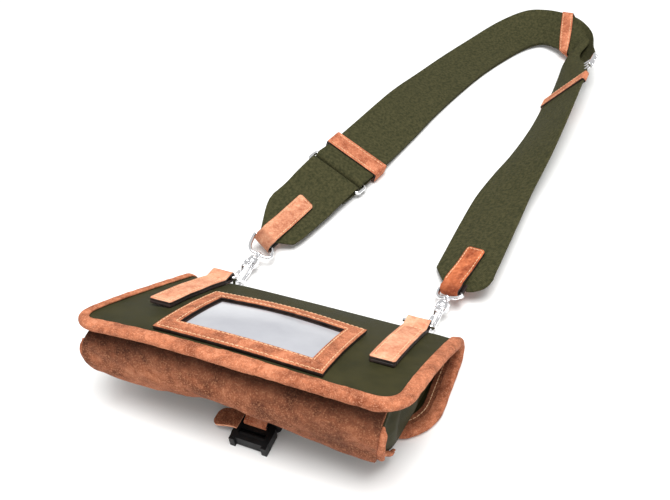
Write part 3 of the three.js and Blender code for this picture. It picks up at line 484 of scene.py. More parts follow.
def weaveGroup():
    # slanted ribs that turn at each band, from the sheet's own distances in millimetres
    inputs = [("Pitch", number, 1.0), ("Band", number, 6.0), ("Slant", number, 1.0)]
    tree, given, out = newGroup("ribWeave", inputs, [("Height", number), ("Groove", number)])
    lay = addNode(tree, "ShaderNodeAttribute", attribute_name="lay").outputs["Vector"]
    axes = addNode(tree, "ShaderNodeSeparateXYZ", {0: lay}).outputs
    zigzag = calc(tree, "PINGPONG", axes["X"], given["Band"])
    slanted = calc(tree, "ADD", axes["Y"], calc(tree, "MULTIPLY", zigzag, given["Slant"]))
    turns = calc(tree, "MULTIPLY", calc(tree, "DIVIDE", slanted, given["Pitch"]), 2 * math.pi)
    rib = calc(tree, "SINE", turns)
    yarns = calc(tree, "SINE", calc(tree, "MULTIPLY", calc(tree, "DIVIDE", axes["X"], given["Pitch"]), 8.4))
    raised = calc(tree, "ADD", calc(tree, "MULTIPLY", rib, 0.7), calc(tree, "MULTIPLY", yarns, 0.3))
    tree.links.new(raised, out["Height"])
    tree.links.new(remap(tree, raised, -1.0, 0.2, 1.0, 0.0), out["Groove"])
    return tree


def unevenToneGroup():
    # slow change of tone over a surface
    inputs = [
        ("Colour", colour, (0.5, 0.5, 0.5, 1)), ("Other", colour, (0.4, 0.4, 0.4, 1)),
        ("Size", number, 30.0),
    ]
    tree, given, out = newGroup("unevenTone", inputs, [("Colour", colour), ("Mask", number)])
    place = addNode(tree, "ShaderNodeTexCoord").outputs["Object"]
    mask = remap(tree, noise(tree, place, given["Size"], 4.0, 0.6), 0.35, 0.65)
    tree.links.new(mixColour(tree, mask, given["Colour"], given["Other"]), out["Colour"])
    tree.links.new(mask, out["Mask"])
    return tree


groups = {"suedeNap": suedeNapGroup(), "ribWeave": weaveGroup(), "unevenTone": unevenToneGroup()}


def setSockets(sockets, values):
    for name, value in values.items():
        sockets[name].default_value = value


def useGroup(tree, name, inputs):
    made = tree.nodes.new("ShaderNodeGroup")
    made.node_tree = groups[name]
    setSockets(made.inputs, inputs)
    return made.outputs


def newMaterial(name):
    material = bpy.data.materials.new(name)
    material.use_nodes = True
    return material, material.node_tree, material.node_tree.nodes["Principled BSDF"].inputs


def addBump(tree, shader, height, strength, distance):
    bump = addNode(tree, "ShaderNodeBump", {"Height": height, "Strength": strength, "Distance": distance})
    tree.links.new(bump.outputs["Normal"], shader["Normal"])


suedes = {
    "binding": {
        "base": paint(198, 120, 84), "shade": paint(132, 70, 45), "bloom": paint(244, 178, 140),
        "patch": 70.0, "grain": 1250.0, "speckle": 0.6, "bump": 0.0012,
    },
    "bottom": {
        "base": paint(156, 92, 63), "shade": paint(92, 48, 30), "bloom": paint(214, 150, 110),
        "patch": 45.0, "grain": 1000.0, "speckle": 0.7, "bump": 0.001,
    },
    "pale": {
        "base": paint(222, 160, 126), "shade": paint(190, 118, 86), "bloom": paint(244, 204, 176),
        "patch": 80.0, "grain": 900.0, "speckle": 0.35, "bump": 0.0004,
    },
    "strap": {
        "base": paint(200, 124, 90), "shade": paint(148, 78, 50), "bloom": paint(240, 182, 148),
        "patch": 90.0, "grain": 1100.0, "speckle": 0.4, "bump": 0.0004,
    },
    # paler copy of the strap suede, for the left strap tab
    "paler": {
        "base": paint(212, 146, 112), "shade": paint(166, 98, 70), "bloom": paint(246, 200, 168),
        "patch": 80.0, "grain": 1000.0, "speckle": 0.35, "bump": 0.0004,
    },
    # darker, redder copy of the strap suede, for the right strap tab
    "redder": {
        "base": paint(196, 108, 68), "shade": paint(134, 62, 36), "bloom": paint(236, 160, 118),
        "patch": 70.0, "grain": 700.0, "speckle": 0.25, "bump": 0.0003,
    },
}


def suedeMaterial(name):
    finish = suedes[name]
    material, tree, shader = newMaterial(name + "Suede")
    nap = useGroup(tree, "suedeNap", {
        "Base": finish["base"], "Shade": finish["shade"], "Bloom": finish["bloom"],
        "Patch": finish["patch"], "Grain": finish["grain"], "Speckle": finish["speckle"],
    })
    tree.links.new(nap["Colour"], shader["Base Color"])
    tree.links.new(nap["Rough"], shader["Roughness"])
    setSockets(shader, {
        "Sheen Weight": 0.12, "Sheen Roughness": 0.4, "Sheen Tint": finish["bloom"],
        "Specular IOR Level": 0.2,
    })
    addBump(tree, shader, nap["Height"], 0.8, finish["bump"])
    return material


clothes = {
    "nylon": {
        "colour": paint(49, 48, 27), "other": paint(62, 59, 35), "size": 60.0,
        "pitch": 0.55, "band": 400.0, "slant": 1.0, "rough": 0.6, "bump": 0.00006, "shine": 0.1,
    },
    "webbing": {
        "colour": paint(50, 51, 29), "other": paint(77, 74, 48), "size": 420.0,
        "pitch": 1.5, "band": 3.1, "slant": 0.9, "rough": 0.75, "bump": 0.00022, "shine": 0.12,
    },
}


def clothMaterial(name):
    finish = clothes[name]
    material, tree, shader = newMaterial(name + "Cloth")
    tone = useGroup(tree, "unevenTone", {
        "Colour": finish["colour"], "Other": finish["other"], "Size": finish["size"],
    })
    weave = useGroup(tree, "ribWeave", {
        "Pitch": finish["pitch"], "Band": finish["band"], "Slant": finish["slant"],
    })
    # painted shade in the weave's grooves
    groove = calc(tree, "MULTIPLY", weave["Groove"], 0.36)
    shaded = mixColour(tree, groove, tone["Colour"], (0.01, 0.01, 0.006, 1))
    tree.links.new(shaded, shader["Base Color"])
    rough = remap(tree, tone["Mask"], 0, 1, finish["rough"], finish["rough"] + 0.1)
    tree.links.new(rough, shader["Roughness"])
    shader["Specular IOR Level"].default_value = finish["shine"]
    addBump(tree, shader, weave["Height"], 0.7, finish["bump"])
    return material


plainFinishes = {
    "edge": {  # painted raw edge of the suede, almost black; also the pane's painted shade margin
        "name": "paintedEdge", "tone": paint(22, 15, 13), "other": paint(52, 34, 27), "size": 300.0,
        "rough": (0.5, 0.8),
    },
    "thread": {
        "name": "sewingThread", "tone": paint(238, 200, 160), "other": paint(214, 164, 122), "size": 400.0,
        "sockets": {"Roughness": 0.7},
    },
    "metal": {
        "name": "polishedMetal", "tone": (0.97, 0.97, 0.98, 1), "other": (0.92, 0.92, 0.94, 1), "size": 120.0,
        "rough": (0.14, 0.24), "sockets": {"Metallic": 1.0},
    },
    "black": {  # moulded, with a fine grain
        "name": "mouldedBlack", "tone": paint(9, 9, 10), "other": paint(17, 17, 18), "size": 90.0,
        "rough": (0.42, 0.55), "sockets": {"Specular IOR Level": 0.25},
        "relief": {"scale": 2500.0, "detail": 2.0, "strength": 0.25, "distance": 0.0002},
    },
    "vinyl": {  # clear sheet: its pale grey colour and slow change of tone are painted reflection of the pale surroundings; smooth, with a slow ripple
        "name": "windowVinyl", "tone": paint(166, 167, 173), "other": paint(180, 181, 186), "size": 18.0,
        "rough": (0.16, 0.24), "sockets": {"Coat Weight": 0.6, "Coat Roughness": 0.05},
        "relief": {"scale": 25.0, "detail": 1.0, "strength": 0.15, "distance": 0.001},
    },
}


def plainMaterial(finish):
    material, tree, shader = newMaterial(finish["name"])
    tone = useGroup(tree, "unevenTone", {
        "Colour": finish["tone"], "Other": finish["other"], "Size": finish["size"],
    })
    tree.links.new(tone["Colour"], shader["Base Color"])
    if "rough" in finish:
        tree.links.new(remap(tree, tone["Mask"], 0, 1, *finish["rough"]), shader["Roughness"])
    setSockets(shader, finish.get("sockets", {}))
    if "relief" in finish:
        relief = finish["relief"]
        place = addNode(tree, "ShaderNodeTexCoord").outputs["Object"]
        height = noise(tree, place, relief["scale"], relief["detail"])
        addBump(tree, shader, height, relief["strength"], relief["distance"])
    return material


look = {name + "Suede": suedeMaterial(name) for name in suedes}
look.update({name: clothMaterial(name) for name in clothes})
look.update({name: plainMaterial(finish) for name, finish in plainFinishes.items()})
print("materials ready:", ", ".join(sorted(look)))


# pieces that share a finish
def metalPiece(name, part, body="bag", sharp=None):
    return makePiece(name + "_metal", part, [look["metal"]], body, [name], sharp)


def suedePiece(name, part, face, edge="edge", sharp=None):
    # cut edges take the second look; on the binding it is painted shade on the facing
    return makePiece(name + "_suede", part, [look[face], look[edge]], replaced=[name], sharp=sharp)


def sewnPiece(name, part):
    return makePiece(name + "_stitches", part, [look["thread"]])


# back panel, roll and flap
panel = {
    "bottomEdge": 78.0, "rollHeight": 20.0, "depth": 108.6, "arch": 1.3, "crown": 4.0, "crownReach": 62.0,
    "left": 112.0, "right": 100.0, "sag": 5.0, "flapHalf": 104.0, "corner": 16.0, "flapCorner": 28.0,
    "start": 3.1, "rollStart": 104.0, "rollEnd": 101.0, "flapEdge": 40.1, "flapLift": 2.1, "rim": 14.0,
    "wall": 2.0, "pucker": 0.3, "puckerAt": 9.0, "puckerFade": 5.0, "belly": 0.6, "flapSkew": 6.0,
    "skewFrom": 25.0, "skewReach": 60.0, "sagFrom": 45.0, "sagTo": 118.0, "rollOut": 10.0, "rollUnder": 13.0,
}


def sagAt(x):
    return panel["sag"] * ease(-np.asarray(x, float), panel["sagFrom"], panel["sagTo"])


def panelHeight(x, y):
    share = np.clip(y / panel["depth"], 0, 1)
    arch = panel["bottomEdge"] - (panel["bottomEdge"] - panel["rollHeight"]) * share ** panel["arch"]
    swell = np.maximum(0, 1 - (x / panel["crownReach"]) ** 2) ** 2
    hang = sagAt(x) * (1 + panel["belly"] * np.sin(math.pi * share))
    return arch + panel["crown"] * swell * np.sin(math.pi * share) - hang


def onPanel(x, y, offset):
    x, y = np.broadcast_arrays(np.asarray(x, float), np.asarray(y, float))
    step = 0.5
    slopeX = (panelHeight(x + step, y) - panelHeight(x - step, y)) / (2 * step)
    slopeY = (panelHeight(x, y + step) - panelHeight(x, y - step)) / (2 * step)
    normal = unit(xyz(-slopeX, -slopeY, 1.0))
    return xyz(x, y, panelHeight(x, y)) + normal * np.asarray(offset, float)[..., None], normal


def rollPoint(x, t):
    start = xyz(x, panel["rollStart"], panelHeight(x, panel["rollStart"]))
    slope = onPanel(x, panel["rollStart"], 1.0)[1]
    out = start + panel["rollOut"] * xyz(0.0, slope[:, 2], -slope[:, 1])
    low = xyz(x, panel["rollEnd"] + panel["rollUnder"], 0.0)
    end = xyz(x, panel["rollEnd"], 0.0)
    return (1 - t) ** 3 * start + 3 * (1 - t) ** 2 * t * out + 3 * (1 - t) * t**2 * low + t**3 * end


def sheetRows():
    turn = np.radians(np.linspace(0, 90, 15))
    nearRows = panel["start"] + panel["corner"] * (1 - np.cos(turn))
    panelRows = np.concatenate([nearRows, np.linspace(nearRows[-1], panel["rollStart"], 36)[1:]])
    flapRows = np.linspace(panel["rollEnd"], panel["flapEdge"] + panel["flapCorner"], 14)[1:]
    flapRound = panel["flapEdge"] + panel["flapCorner"] * (1 - np.sin(turn))
    rows = [lambda x, y=y: xyz(x, y, panelHeight(x, y)) for y in panelRows]
    rows += [lambda x, t=t: rollPoint(x, t) for t in np.linspace(0, 1, 25)[1:]]
    for y in np.concatenate([flapRows, flapRound[1:]]):
        skew = panel["flapSkew"] * (1 - (y - panel["flapEdge"]) / panel["skewReach"])
        rows.append(lambda x, y=y, skew=skew: xyz(
            x, y - skew * ease(x, panel["skewFrom"], panel["flapHalf"]), 0.0))
    return rows


def cornerInset(radius, distance):
    gone = np.clip(radius - distance, 0, radius)
    return radius - math.sqrt(radius**2 - gone**2)


def sheetGrid():
    rows = sheetRows()
    middle = np.vstack([row(np.zeros(1)) for row in rows])
    run = runOf(middle)
    share = np.sin(np.radians(np.linspace(90, -90, 91)))
    grid = []
    for row, s in zip(rows, run):
        inset = cornerInset(panel["corner"], s) + cornerInset(panel["flapCorner"], run[-1] - s)
        widest = np.where(share < 0, panel["left"], panel["right"])
        half = lerp(widest, panel["flapHalf"], min(1, s / panel["depth"])) - inset
        points = row(share * half)
        rim = np.minimum(half * (1 - np.abs(share)), run[-1] - s)
        lift = panel["flapLift"] * (1 - ease(rim, panel["rim"] / 2, panel["rim"]))
        points[:, 2] = np.maximum(points[:, 2], lift)
        grid.append(points)
    return np.array(grid), run[-1]


sheet, sheetRun = sheetGrid()
fromLeft, fromStart, _ = layOf(sheet).T
fromRight = layOf(sheet[:, ::-1])[:, 0].reshape(sheet.shape[:2])[:, ::-1].ravel()
rimDistance = np.minimum(np.minimum(fromLeft, fromRight), fromStart)
nearSeam = np.exp(-np.abs(rimDistance - panel["puckerAt"]) / panel["puckerFade"])
puckers = waves(sheet.reshape(-1, 3), 11.0, 3) * nearSeam * panel["pucker"]
dressed = sheet + gridNormals(sheet) * puckers.reshape(sheet.shape[:2])[..., None]
backPanel = makePiece("back_panel_cloth", wallShape(dressed, panel["wall"]), [look["nylon"]],
                      replaced=["back_panel_flap"])
print("back panel and flap: sheet", round(sheetRun), "mm long")

# suede binding folded over the sheet's edge
binding = {
    "reach": 3.1, "lap": 5.4, "leftLap": 3.6, "leftFrom": 92.0, "leftTo": 108.0,
    "facing": 10.0, "facingTop": 1.75, "facingShade": 0.35, "facingThread": 0.72,
    "slot": 1.25, "top": 2.55, "swell": 0.25, "lump": 0.28, "step": 1.5,
    "seamX": -8.0, "seamReach": 12.0, "seamStep": 0.35, "frontY": 12.0, "frontZ": 40.0,
}


def bindingShape():
    rows, cols = sheet.shape[:2]
    stops = rimOf(rows, cols)
    normals = gridNormals(sheet)
    rimNormal = np.array([normals[i, j] for i, j in stops])
    rim = np.array([sheet[i, j] for i, j in stops]) - rimNormal * panel["wall"] / 2
    run = runOf(rim, closed=True)
    stations = np.arange(0, run[-1] - binding["step"] / 2, binding["step"])
    ring = lambda values: sampled(np.vstack([values, values[:1]]), run, stations)
    centre, normal = ring(rim), unit(ring(rimNormal))
    for _ in range(4):
        centre = centre / 2 + (np.roll(centre, 1, 0) + np.roll(centre, -1, 0)) / 4
        normal = unit(normal / 2 + (np.roll(normal, 1, 0) + np.roll(normal, -1, 0)) / 4)
    tangent = unit(np.roll(centre, -1, 0) - np.roll(centre, 1, 0))
    out = unit(np.cross(normal, tangent))
    # the flap's inner side has a wider facing
    under = ease(-normal[:, 2], 0.2, 0.9)
    lapIn = lerp(binding["lap"], binding["facing"], under)
    reach, top, slot, swell = (binding[key] for key in ("reach", "top", "slot", "swell"))
    outer = [(-1.0, slot + 0.1), (-1.02, slot + 0.55), (-0.97, top - 0.3), (-0.85, top), (-0.45, top + swell)]
    arc = [(math.sin(a) * reach, math.cos(a) * (reach - 0.1)) for a in np.radians(np.linspace(-8, 188, 15))]
    inner = [(b, -n) for b, n in outer[::-1]]
    slotWall = [(0.25, -slot), (0.25, slot)]
    topIn = lerp(top, binding["facingTop"], under)
    leftward = ease(-centre[:, 0], binding["leftFrom"], binding["leftTo"])
    lapOut = lerp(binding["lap"], binding["leftLap"], leftward)

    def sectionAt(lapOver, lapUnder, topUnder):
        over = [(b * lapOver, n) for b, n in outer]
        below = [(b * lapUnder, max(n, -topUnder - swell)) for b, n in inner]
        return over + arc + below + slotWall

    sections = np.array([sectionAt(*laps) for laps in zip(lapOut, lapIn, topIn)])
    made = sweepShape(sections, centre, out, normal, True)
    rings = made["points"].reshape(sections.shape[0], -1, 3)
    lumps = waves(rings, 14.0, 11) * 0.65 + waves(rings, 5.0, 12) * 0.35
    onFront = (centre[:, 1] < binding["frontY"]) & (centre[:, 2] > binding["frontZ"])
    fromSeam = np.abs(centre[:, 0] - binding["seamX"] - binding["seamReach"])
    lapped = np.where(onFront & (fromSeam < binding["seamReach"]), binding["seamStep"], 0)
    grow = (lumps * binding["lump"] + lapped[:, None])[..., None]
    weight = np.ones(sections.shape[1])
    weight[[0, 1, -4, -3, -2, -1]] = 0
    fat = unit(sections * np.array([0.6, 1.0]))
    outward = fat[..., :1] * out[:, None] + fat[..., 1:] * normal[:, None]
    rings = rings + grow * weight[None, :, None] * outward
    made["points"] = rings.reshape(-1, 3)
    # the facing takes the darker bottom suede and a darker nap, painted shade as it lies under the bag's
    # overhang, with thread along it
    cols = sections.shape[1]
    column = np.tile(np.arange(cols), len(centre))
    first = len(outer) + len(arc)
    facing = (column >= first) & (column < first + len(inner) - 1) & (np.repeat(under, cols) > 0.5)
    made["slots"] = facing.astype(int).tolist()
    made["lay"][:, 2] = binding["facingShade"] * facing
    flat = under > 0.8
    seam = centre - out * (lapIn * binding["facingThread"])[:, None] - normal * (topIn + swell)[:, None]
    return made, seam[flat], -normal[flat]


made, seam, seamNormal = bindingShape()
# the second look, the darker bottom suede, is painted shade on the flap's facing
suedePiece("edge_binding", made, "bindingSuede", edge="bottomSuede")
sewnPiece("edge_binding", stitchShape(seam, seamNormal))
print("edge binding done")

# suede bottom, front panel, gussets
bottomProfile = [  # y, share of the height, left end, right end
    (11.0, 0.985, -98.0, 85.0),
    (9.0, 0.95, -101.5, 89.5),
    (7.0, 0.9, -103.5, 90.0),
    (-1.6, 0.75, -105.0, 88.7),
    (-4.6, 0.5, -106.0, 87.8),
    (-3.6, 0.25, -105.0, 86.6),
    (-0.8, 0.08, -102.0, 85.2),
    (3.5, 0.0, -98.0, 83.5),
    (10.0, 0.01, -94.0, 81.5),
]
lowerEdge = [  # x, height of the bottom's lower edge
    (-106, 27.5), (-85, 25), (-60, 26), (-45, 29.5), (-22, 35.5),
    (-5, 33), (20, 28.5), (45, 26.5), (70, 25), (96, 25.5),
]
bottom = {
    "seam": 72.0, "wall": 2.2, "fold": 0.36, "dent": 1.3, "shadeAndGrimeStart": 13, "shadeAndGrimeEnd": 28,
    "dusk": 0.3, "duskFrom": (20, 50), "duskTo": (66, 82),
}
front = {
    "near": 10.8, "far": 101.0, "farHeight": 5.8, "left": -92.0, "right": 80.0, "half": 91.0, "wall": 1.6,
    "lift": 0.2,
}
gusset = {
    "far": 97.0, "wall": 1.6, "topX": 96.0, "drop": 5.4, "flare": 0.4,
    "fold": 3.0, "pleats": 7, "pleatRun": 0.7, "inset": 1.5, "gap": 0.8, "spread": 3.0, "under": 1.0,
}
gussetHang = [  # share along, drop of its lower edge below the front panel's
    (0, -2.0), (0.06, -6.0), (0.14, -10.0), (0.22, -10.0), (0.35, -8.0),
    (0.5, -6.5), (0.68, -5.5), (0.85, -1.0), (1, 3.0),
]
sideTape = {
    "radius": 2.7, "back": 3.2, "out": 1.9, "flat": 0.6, "lump": 0.1, "point": 5.0, "pointShare": 0.35,
    "tail": 7.0, "tailShare": 0.55, "tailStart": 4.0, "tailY": (16.0, 19.0), "tailOut": 0.8, "tailDrop": 0.5,
}


def seamHeight(x):
    return bottom["seam"] - sagAt(x)


def lowerEdgeHeight(x):
    x = np.asarray(x, float)
    places = np.array([row[0] for row in lowerEdge], float)
    heights = np.array([row[1] for row in lowerEdge], float)
    k = np.clip(np.searchsorted(places, x, side="right") - 1, 0, len(places) - 2)
    return lerp(heights[k], heights[k + 1], ease((x - places[k]) / (places[k + 1] - places[k]), 0, 1))


def bottomGrid():
    rows = catmull(bottomProfile, np.linspace(0, 1, 57))
    share = np.linspace(0, 1, 121)
    grid = []
    for y, high, left, right in rows:
        x = lerp(left, right, share)
        z = lerp(lowerEdgeHeight(x), seamHeight(x), high)
        grid.append(xyz(x, y, z))
    return np.array(grid)


grid = bottomGrid()
inside = np.sin(math.pi * np.linspace(0, 1, len(grid)))[:, None] ** 0.7
creases = waves(grid * np.array([1, 1, 2.2]), 46.0, 21) * bottom["dent"]
creases = creases + waves(grid, 17.0, 22) * bottom["fold"]
grid = grid + gridNormals(grid) * (creases * inside)[..., None]
made = wallShape(grid, bottom["wall"])
# painted shade under the binding's overhang, darkest in the top rows, with some dirt in the seam
shadeAndGrime = 1 - ease(np.arange(len(grid)), bottom["shadeAndGrimeStart"], bottom["shadeAndGrimeEnd"])
x = grid[..., 0]
dusk = bottom["dusk"] * ease(x, *bottom["duskFrom"]) * (1 - ease(x, *bottom["duskTo"]))  # a darker patch towards the right
made["lay"][:x.size, 2] = np.maximum(shadeAndGrime[:, None], dusk).ravel()
bottomPiece = makePiece("bottom_suede_panel", made, [look["bottomSuede"]],
                        replaced=["bottom_panel"])


def frontHeight(x, y):
    share = (y - front["near"]) / (front["far"] - front["near"])
    return lerp(lowerEdgeHeight(x) + front["lift"], front["farHeight"], share)


def frontGrid():
    grid = []
    for share in np.linspace(0, 1, 30):
        y = lerp(front["near"], front["far"], share)
        left = lerp(front["left"], -front["half"], share)
        right = lerp(front["right"], front["half"], share)
        x = np.linspace(left, right, 61)
        grid.append(xyz(x, y, frontHeight(x, y)))
    return np.array(grid)


frontPiece = makePiece("front_panel_cloth", wallShape(frontGrid(), front["wall"]), [look["nylon"]],
                       replaced=["front_panel"])


def gussetPoint(sign, along, up):
    rows = np.array(bottomProfile[1:8][::-1])
    place = up * (len(rows) - 1)
    nearY = np.interp(place, np.arange(len(rows)), rows[:, 0])
    ends = rows[:, 3] if sign > 0 else -rows[:, 2]
    nearX = np.interp(place, np.arange(len(rows)), ends) - gusset["inset"]
    y = lerp(nearY + bottom["wall"] + gusset["gap"], gusset["far"], along)
    farX = lerp(front["half"] + gusset["spread"], gusset["topX"], up)
    pleat = np.cos(gusset["pleats"] * math.pi * along ** gusset["pleatRun"]) * np.sin(math.pi * along) ** 0.6
    x = lerp(nearX, farX, along ** gusset["flare"]) + gusset["fold"] * np.sin(math.pi * up) * pleat
    hang = np.interp(along, *np.array(gussetHang).T)
    floorZ = frontHeight(sign * nearX, np.maximum(y, front["near"])) + hang
    underPanel = panelHeight(sign * gusset["topX"], y) - gusset["drop"]
    underSeam = seamHeight(sign * gusset["topX"]) - bottom["wall"] - gusset["under"]
    return xyz(sign * x, y, lerp(floorZ, np.minimum(underPanel, underSeam), up))


def gussetGrid(sign):
    along, up = np.meshgrid(np.linspace(0, 1, 61), np.linspace(0, 1, 31), indexing="ij")
    return gussetPoint(sign, along, up if sign > 0 else 1 - up)


def sideTapePath(sign):
    points = []
    for y, share, left, right in bottomProfile[3:8]:
        x = right if sign > 0 else left
        z = lerp(lowerEdgeHeight(x), seamHeight(x), share)
        points.append([x + sign * sideTape["out"], y + sideTape["back"], float(z)])
    start = sideTape["tailStart"]
    for y in sideTape["tailY"]:
        lower = gussetPoint(sign, np.array((y - start) / (gusset["far"] - start)), np.array(0.0))
        points.append([lower[0] + sign * sideTape["tailOut"], y, lower[2] - sideTape["tailDrop"]])
    return catmull(points, np.linspace(0, 1, 90))


for sideName, sign in (("left", -1), ("right", 1)):
    piece = makePiece("gusset_" + sideName + "_cloth", wallShape(gussetGrid(sign), gusset["wall"]),
                      [look["nylon"]], replaced=["gusset_" + sideName])
    path = sideTapePath(sign)
    run = runOf(path)
    fat = sideTape["radius"] * (1 + sideTape["lump"] * waves(path, 9.0, 31))
    fat = fat * lerp(sideTape["pointShare"], 1, ease(run, 0, sideTape["point"]))
    fat = fat * lerp(sideTape["tailShare"], 1, ease(run[-1] - run, 0, sideTape["tail"]))
    tape = tubeShape(path, fat, 18, up=(0, 1, 0), squeeze=sideTape["flat"])
    makePiece("side_binding_" + sideName + "_suede", tape, [look["bindingSuede"]],
              replaced=["side_binding_" + sideName])
print("bottom, front panel and gussets done")

# window frame and pane
window = {
    "outer": (-56.5, 52.5, 11.0, 73.5), "inner": (-45.5, 41.3, 21.7, 65.0),  # left, right, near, far
    "low": 0.35, "high": 3.1, "round": 0.45, "paneLow": 0.3, "paneThick": 0.6,
    "shadeMargin": (2.4, 0.9, 0.9, 2.8), "tuck": 0.3,  # painted shade: a near-black margin of the pane, widest at left and far where the frame's inner wall shades it, and its gap to the frame
    "stitchRows": (0.14, 0.86), "threadLift": 0.06, "crown": 0.12, "ripple": 0.12,
}


def windowSide(box, k, share):
    left, right, near, far = box
    corners = [(left, near), (right, near), (right, far), (left, far)]
    a, b = np.array(corners[k % 4]), np.array(corners[(k + 1) % 4])
    return lerp(a, b, np.asarray(share, float)[:, None])


def windowLoop(across):
    share = np.linspace(0, 1, 33)[:-1]
    sides = []
    for k in range(4):
        outer, inner = (windowSide(window[edge], k, share) for edge in ("outer", "inner"))
        sides.append(lerp(outer, inner, across))
    return np.vstack(sides)


def windowFrameShape():
    low, high, soft = window["low"], window["high"], window["round"]
    section = [(0.0, low), (0.0, high - soft), (0.012, high - 0.3 * soft), (0.04, high)]
    section += [(a, high + window["crown"] * math.sin(math.pi * a)) for a in np.linspace(0.15, 0.85, 7)]
    section += [(0.96, high), (0.988, high - 0.3 * soft), (1.0, high - soft), (1.0, low)]
    rings = np.stack([onPanel(*windowLoop(a).T, np.full(128, h))[0] for a, h in section], 1)
    rings[..., 2] += window["ripple"] * waves(rings, 12.0, 41)
    rows, cols = rings.shape[:2]
    faces = gridFaces(rows, cols, wrapRows=True, wrapCols=True)
    column = np.tile(np.arange(cols), rows)
    cut = (column == 0) | (column >= cols - 2)
    return shape(rings, faces, None, cut.astype(int).tolist())


framePiece = suedePiece("window_frame", windowFrameShape(), "bindingSuede")
rows = []
for across in window["stitchRows"]:
    loop = windowLoop(across)
    loop = np.vstack([loop, loop[:1]])
    lift = np.full(len(loop), window["high"] + window["threadLift"])
    points, normal = onPanel(loop[:, 0], loop[:, 1], lift)
    rows.append(stitchShape(points, normal))
sewnPiece("window_frame", joined(rows))
left, right, near, far = window["inner"]
edgeLeft, edgeRight, edgeNear, edgeFar = window["shadeMargin"]
tuck = window["tuck"]
paneX = np.concatenate([[right - tuck], np.linspace(right - edgeRight, left + edgeLeft, 41), [left + tuck]])
paneY = np.concatenate([[near + tuck], np.linspace(near + edgeNear, far - edgeFar, 31), [far - tuck]])
gridY, gridX = np.meshgrid(paneY, paneX, indexing="ij")
paneGrid = onPanel(gridX, gridY, np.full(gridX.shape, window["paneLow"] + window["paneThick"]))[0]
paneShape = wallShape(paneGrid, window["paneThick"])
# painted shade: the pane's outer ring of cells takes the near-black look
shadeMargin = np.ones((len(paneY) - 1, len(paneX) - 1), int)
shadeMargin[1:-1, 1:-1] = 0
paneShape["slots"][:shadeMargin.size] = shadeMargin.ravel().tolist()
pane = makePiece("window_pane_vinyl", paneShape, [look["vinyl"], look["edge"]],
                 replaced=["window_pane"])
print("window done")

# ring tabs, folded strips that hold the rings
ringTab = {
    "width": 16.0, "near": 39.0, "far": 98.0, "barY": 105.5, "layer": 1.86, "gap": 0.5, "wall": 2.2,
    "lowLayer": 0.5, "topLayer": 1.54,  # heights of the two layers' middles, in layers
    "corner": 1.5, "ripple": 0.18, "sewIn": 2.0, "sewStart": 3.0, "sewEnd": 2.2,
}
tabRing = {"half": 10.5, "wire": 1.3, "room": 0.4, "nearCorner": 2.0, "farCorner": 3.5}
ringSeat = 2.3  # the ring's wire lies this far behind the middle of the hook's bow
tabPlaces = {"left": -74.0, "right": 75.5}
tabLoop = tabRing["wire"] + tabRing["room"] + ringTab["wall"]


def tabInner(x):
    return x - math.copysign(ringTab["width"] / 2, x)


def tabBar(x):
    return np.array([x, *onPanel(tabInner(x), ringTab["barY"], np.array(ringTab["gap"] + tabLoop))[0][1:]])


def hookAxes(side):
    swivel, gate = joints["swivel_" + side], joints["gate_" + side]
    middle = np.array(swivel["pos_m"]) * 1000 + bagOrigin
    along, level = unit(swivel["axis"]), unit(gate["axis"])
    return middle, level, along, np.cross(level, along)


def ringTabStrip(x):
    innerX, bar = tabInner(x), tabBar(x)
    y = np.linspace(ringTab["near"], ringTab["far"], 30)
    low, high = (
        onPanel(innerX, y, np.full(30, ringTab["gap"] + ringTab["layer"] * ringTab[level]))[0]
        for level in ("lowLayer", "topLayer")
    )
    slope = onPanel(x, ringTab["barY"], np.array(0.0))[1]
    upAngle = math.atan2(slope[2], slope[1])
    angle = upAngle - math.pi + np.linspace(0.02, 1.12, 24) * math.pi
    radius = tabLoop - ringTab["layer"] / 2
    loop = xyz(x, bar[1] + radius * np.cos(angle), bar[2] + radius * np.sin(angle))
    path = np.vstack([low, loop, high[::-1]])
    path[:, 0] = x
    trim = roundedTrim(ringTab["corner"], ringTab["corner"])
    strip = ribbon(path, (1, 0, 0), ringTab["width"], ringTab["layer"], trim, step=1.2)
    return strip, runOf(high)[-1]


for sideName, x in tabPlaces.items():
    strip, length = ringTabStrip(x)
    made = ribbonShape(strip, length, True)
    made["points"][:, 2] += ringTab["ripple"] * waves(made["points"], 21.0, 51)
    piece = suedePiece("ring_tab_" + sideName, made, "paleSuede")
    # thread runs down both sides of the top layer and across its two ends
    first, last = strip["total"] - length + ringTab["sewStart"], strip["total"] - ringTab["sewEnd"]
    s, w = threadRoute(first, last, ringTab["width"] / 2 - ringTab["sewIn"], closed=True)
    sewnPiece("ring_tab_" + sideName, sewnRow(strip, s, w))
    middle, _, along, _ = hookAxes(sideName)
    seat = middle - along * ringSeat
    bar = tabBar(x)
    drop = np.array([0, seat[1] - bar[1], seat[2] - bar[2]])
    loop = roundedLoop(tabRing["half"], 0, np.linalg.norm(drop), tabRing["nearCorner"], tabRing["farCorner"])
    path = bar + loop[:, :1] * np.array([1.0, 0, 0]) + loop[:, 1:] * unit(drop)
    wire = tubeShape(path, tabRing["wire"], 16, closed=True, up=np.cross([1.0, 0, 0], unit(drop)))
    metalPiece("tab_ring_" + sideName, wire)
print("ring tabs and rings done")

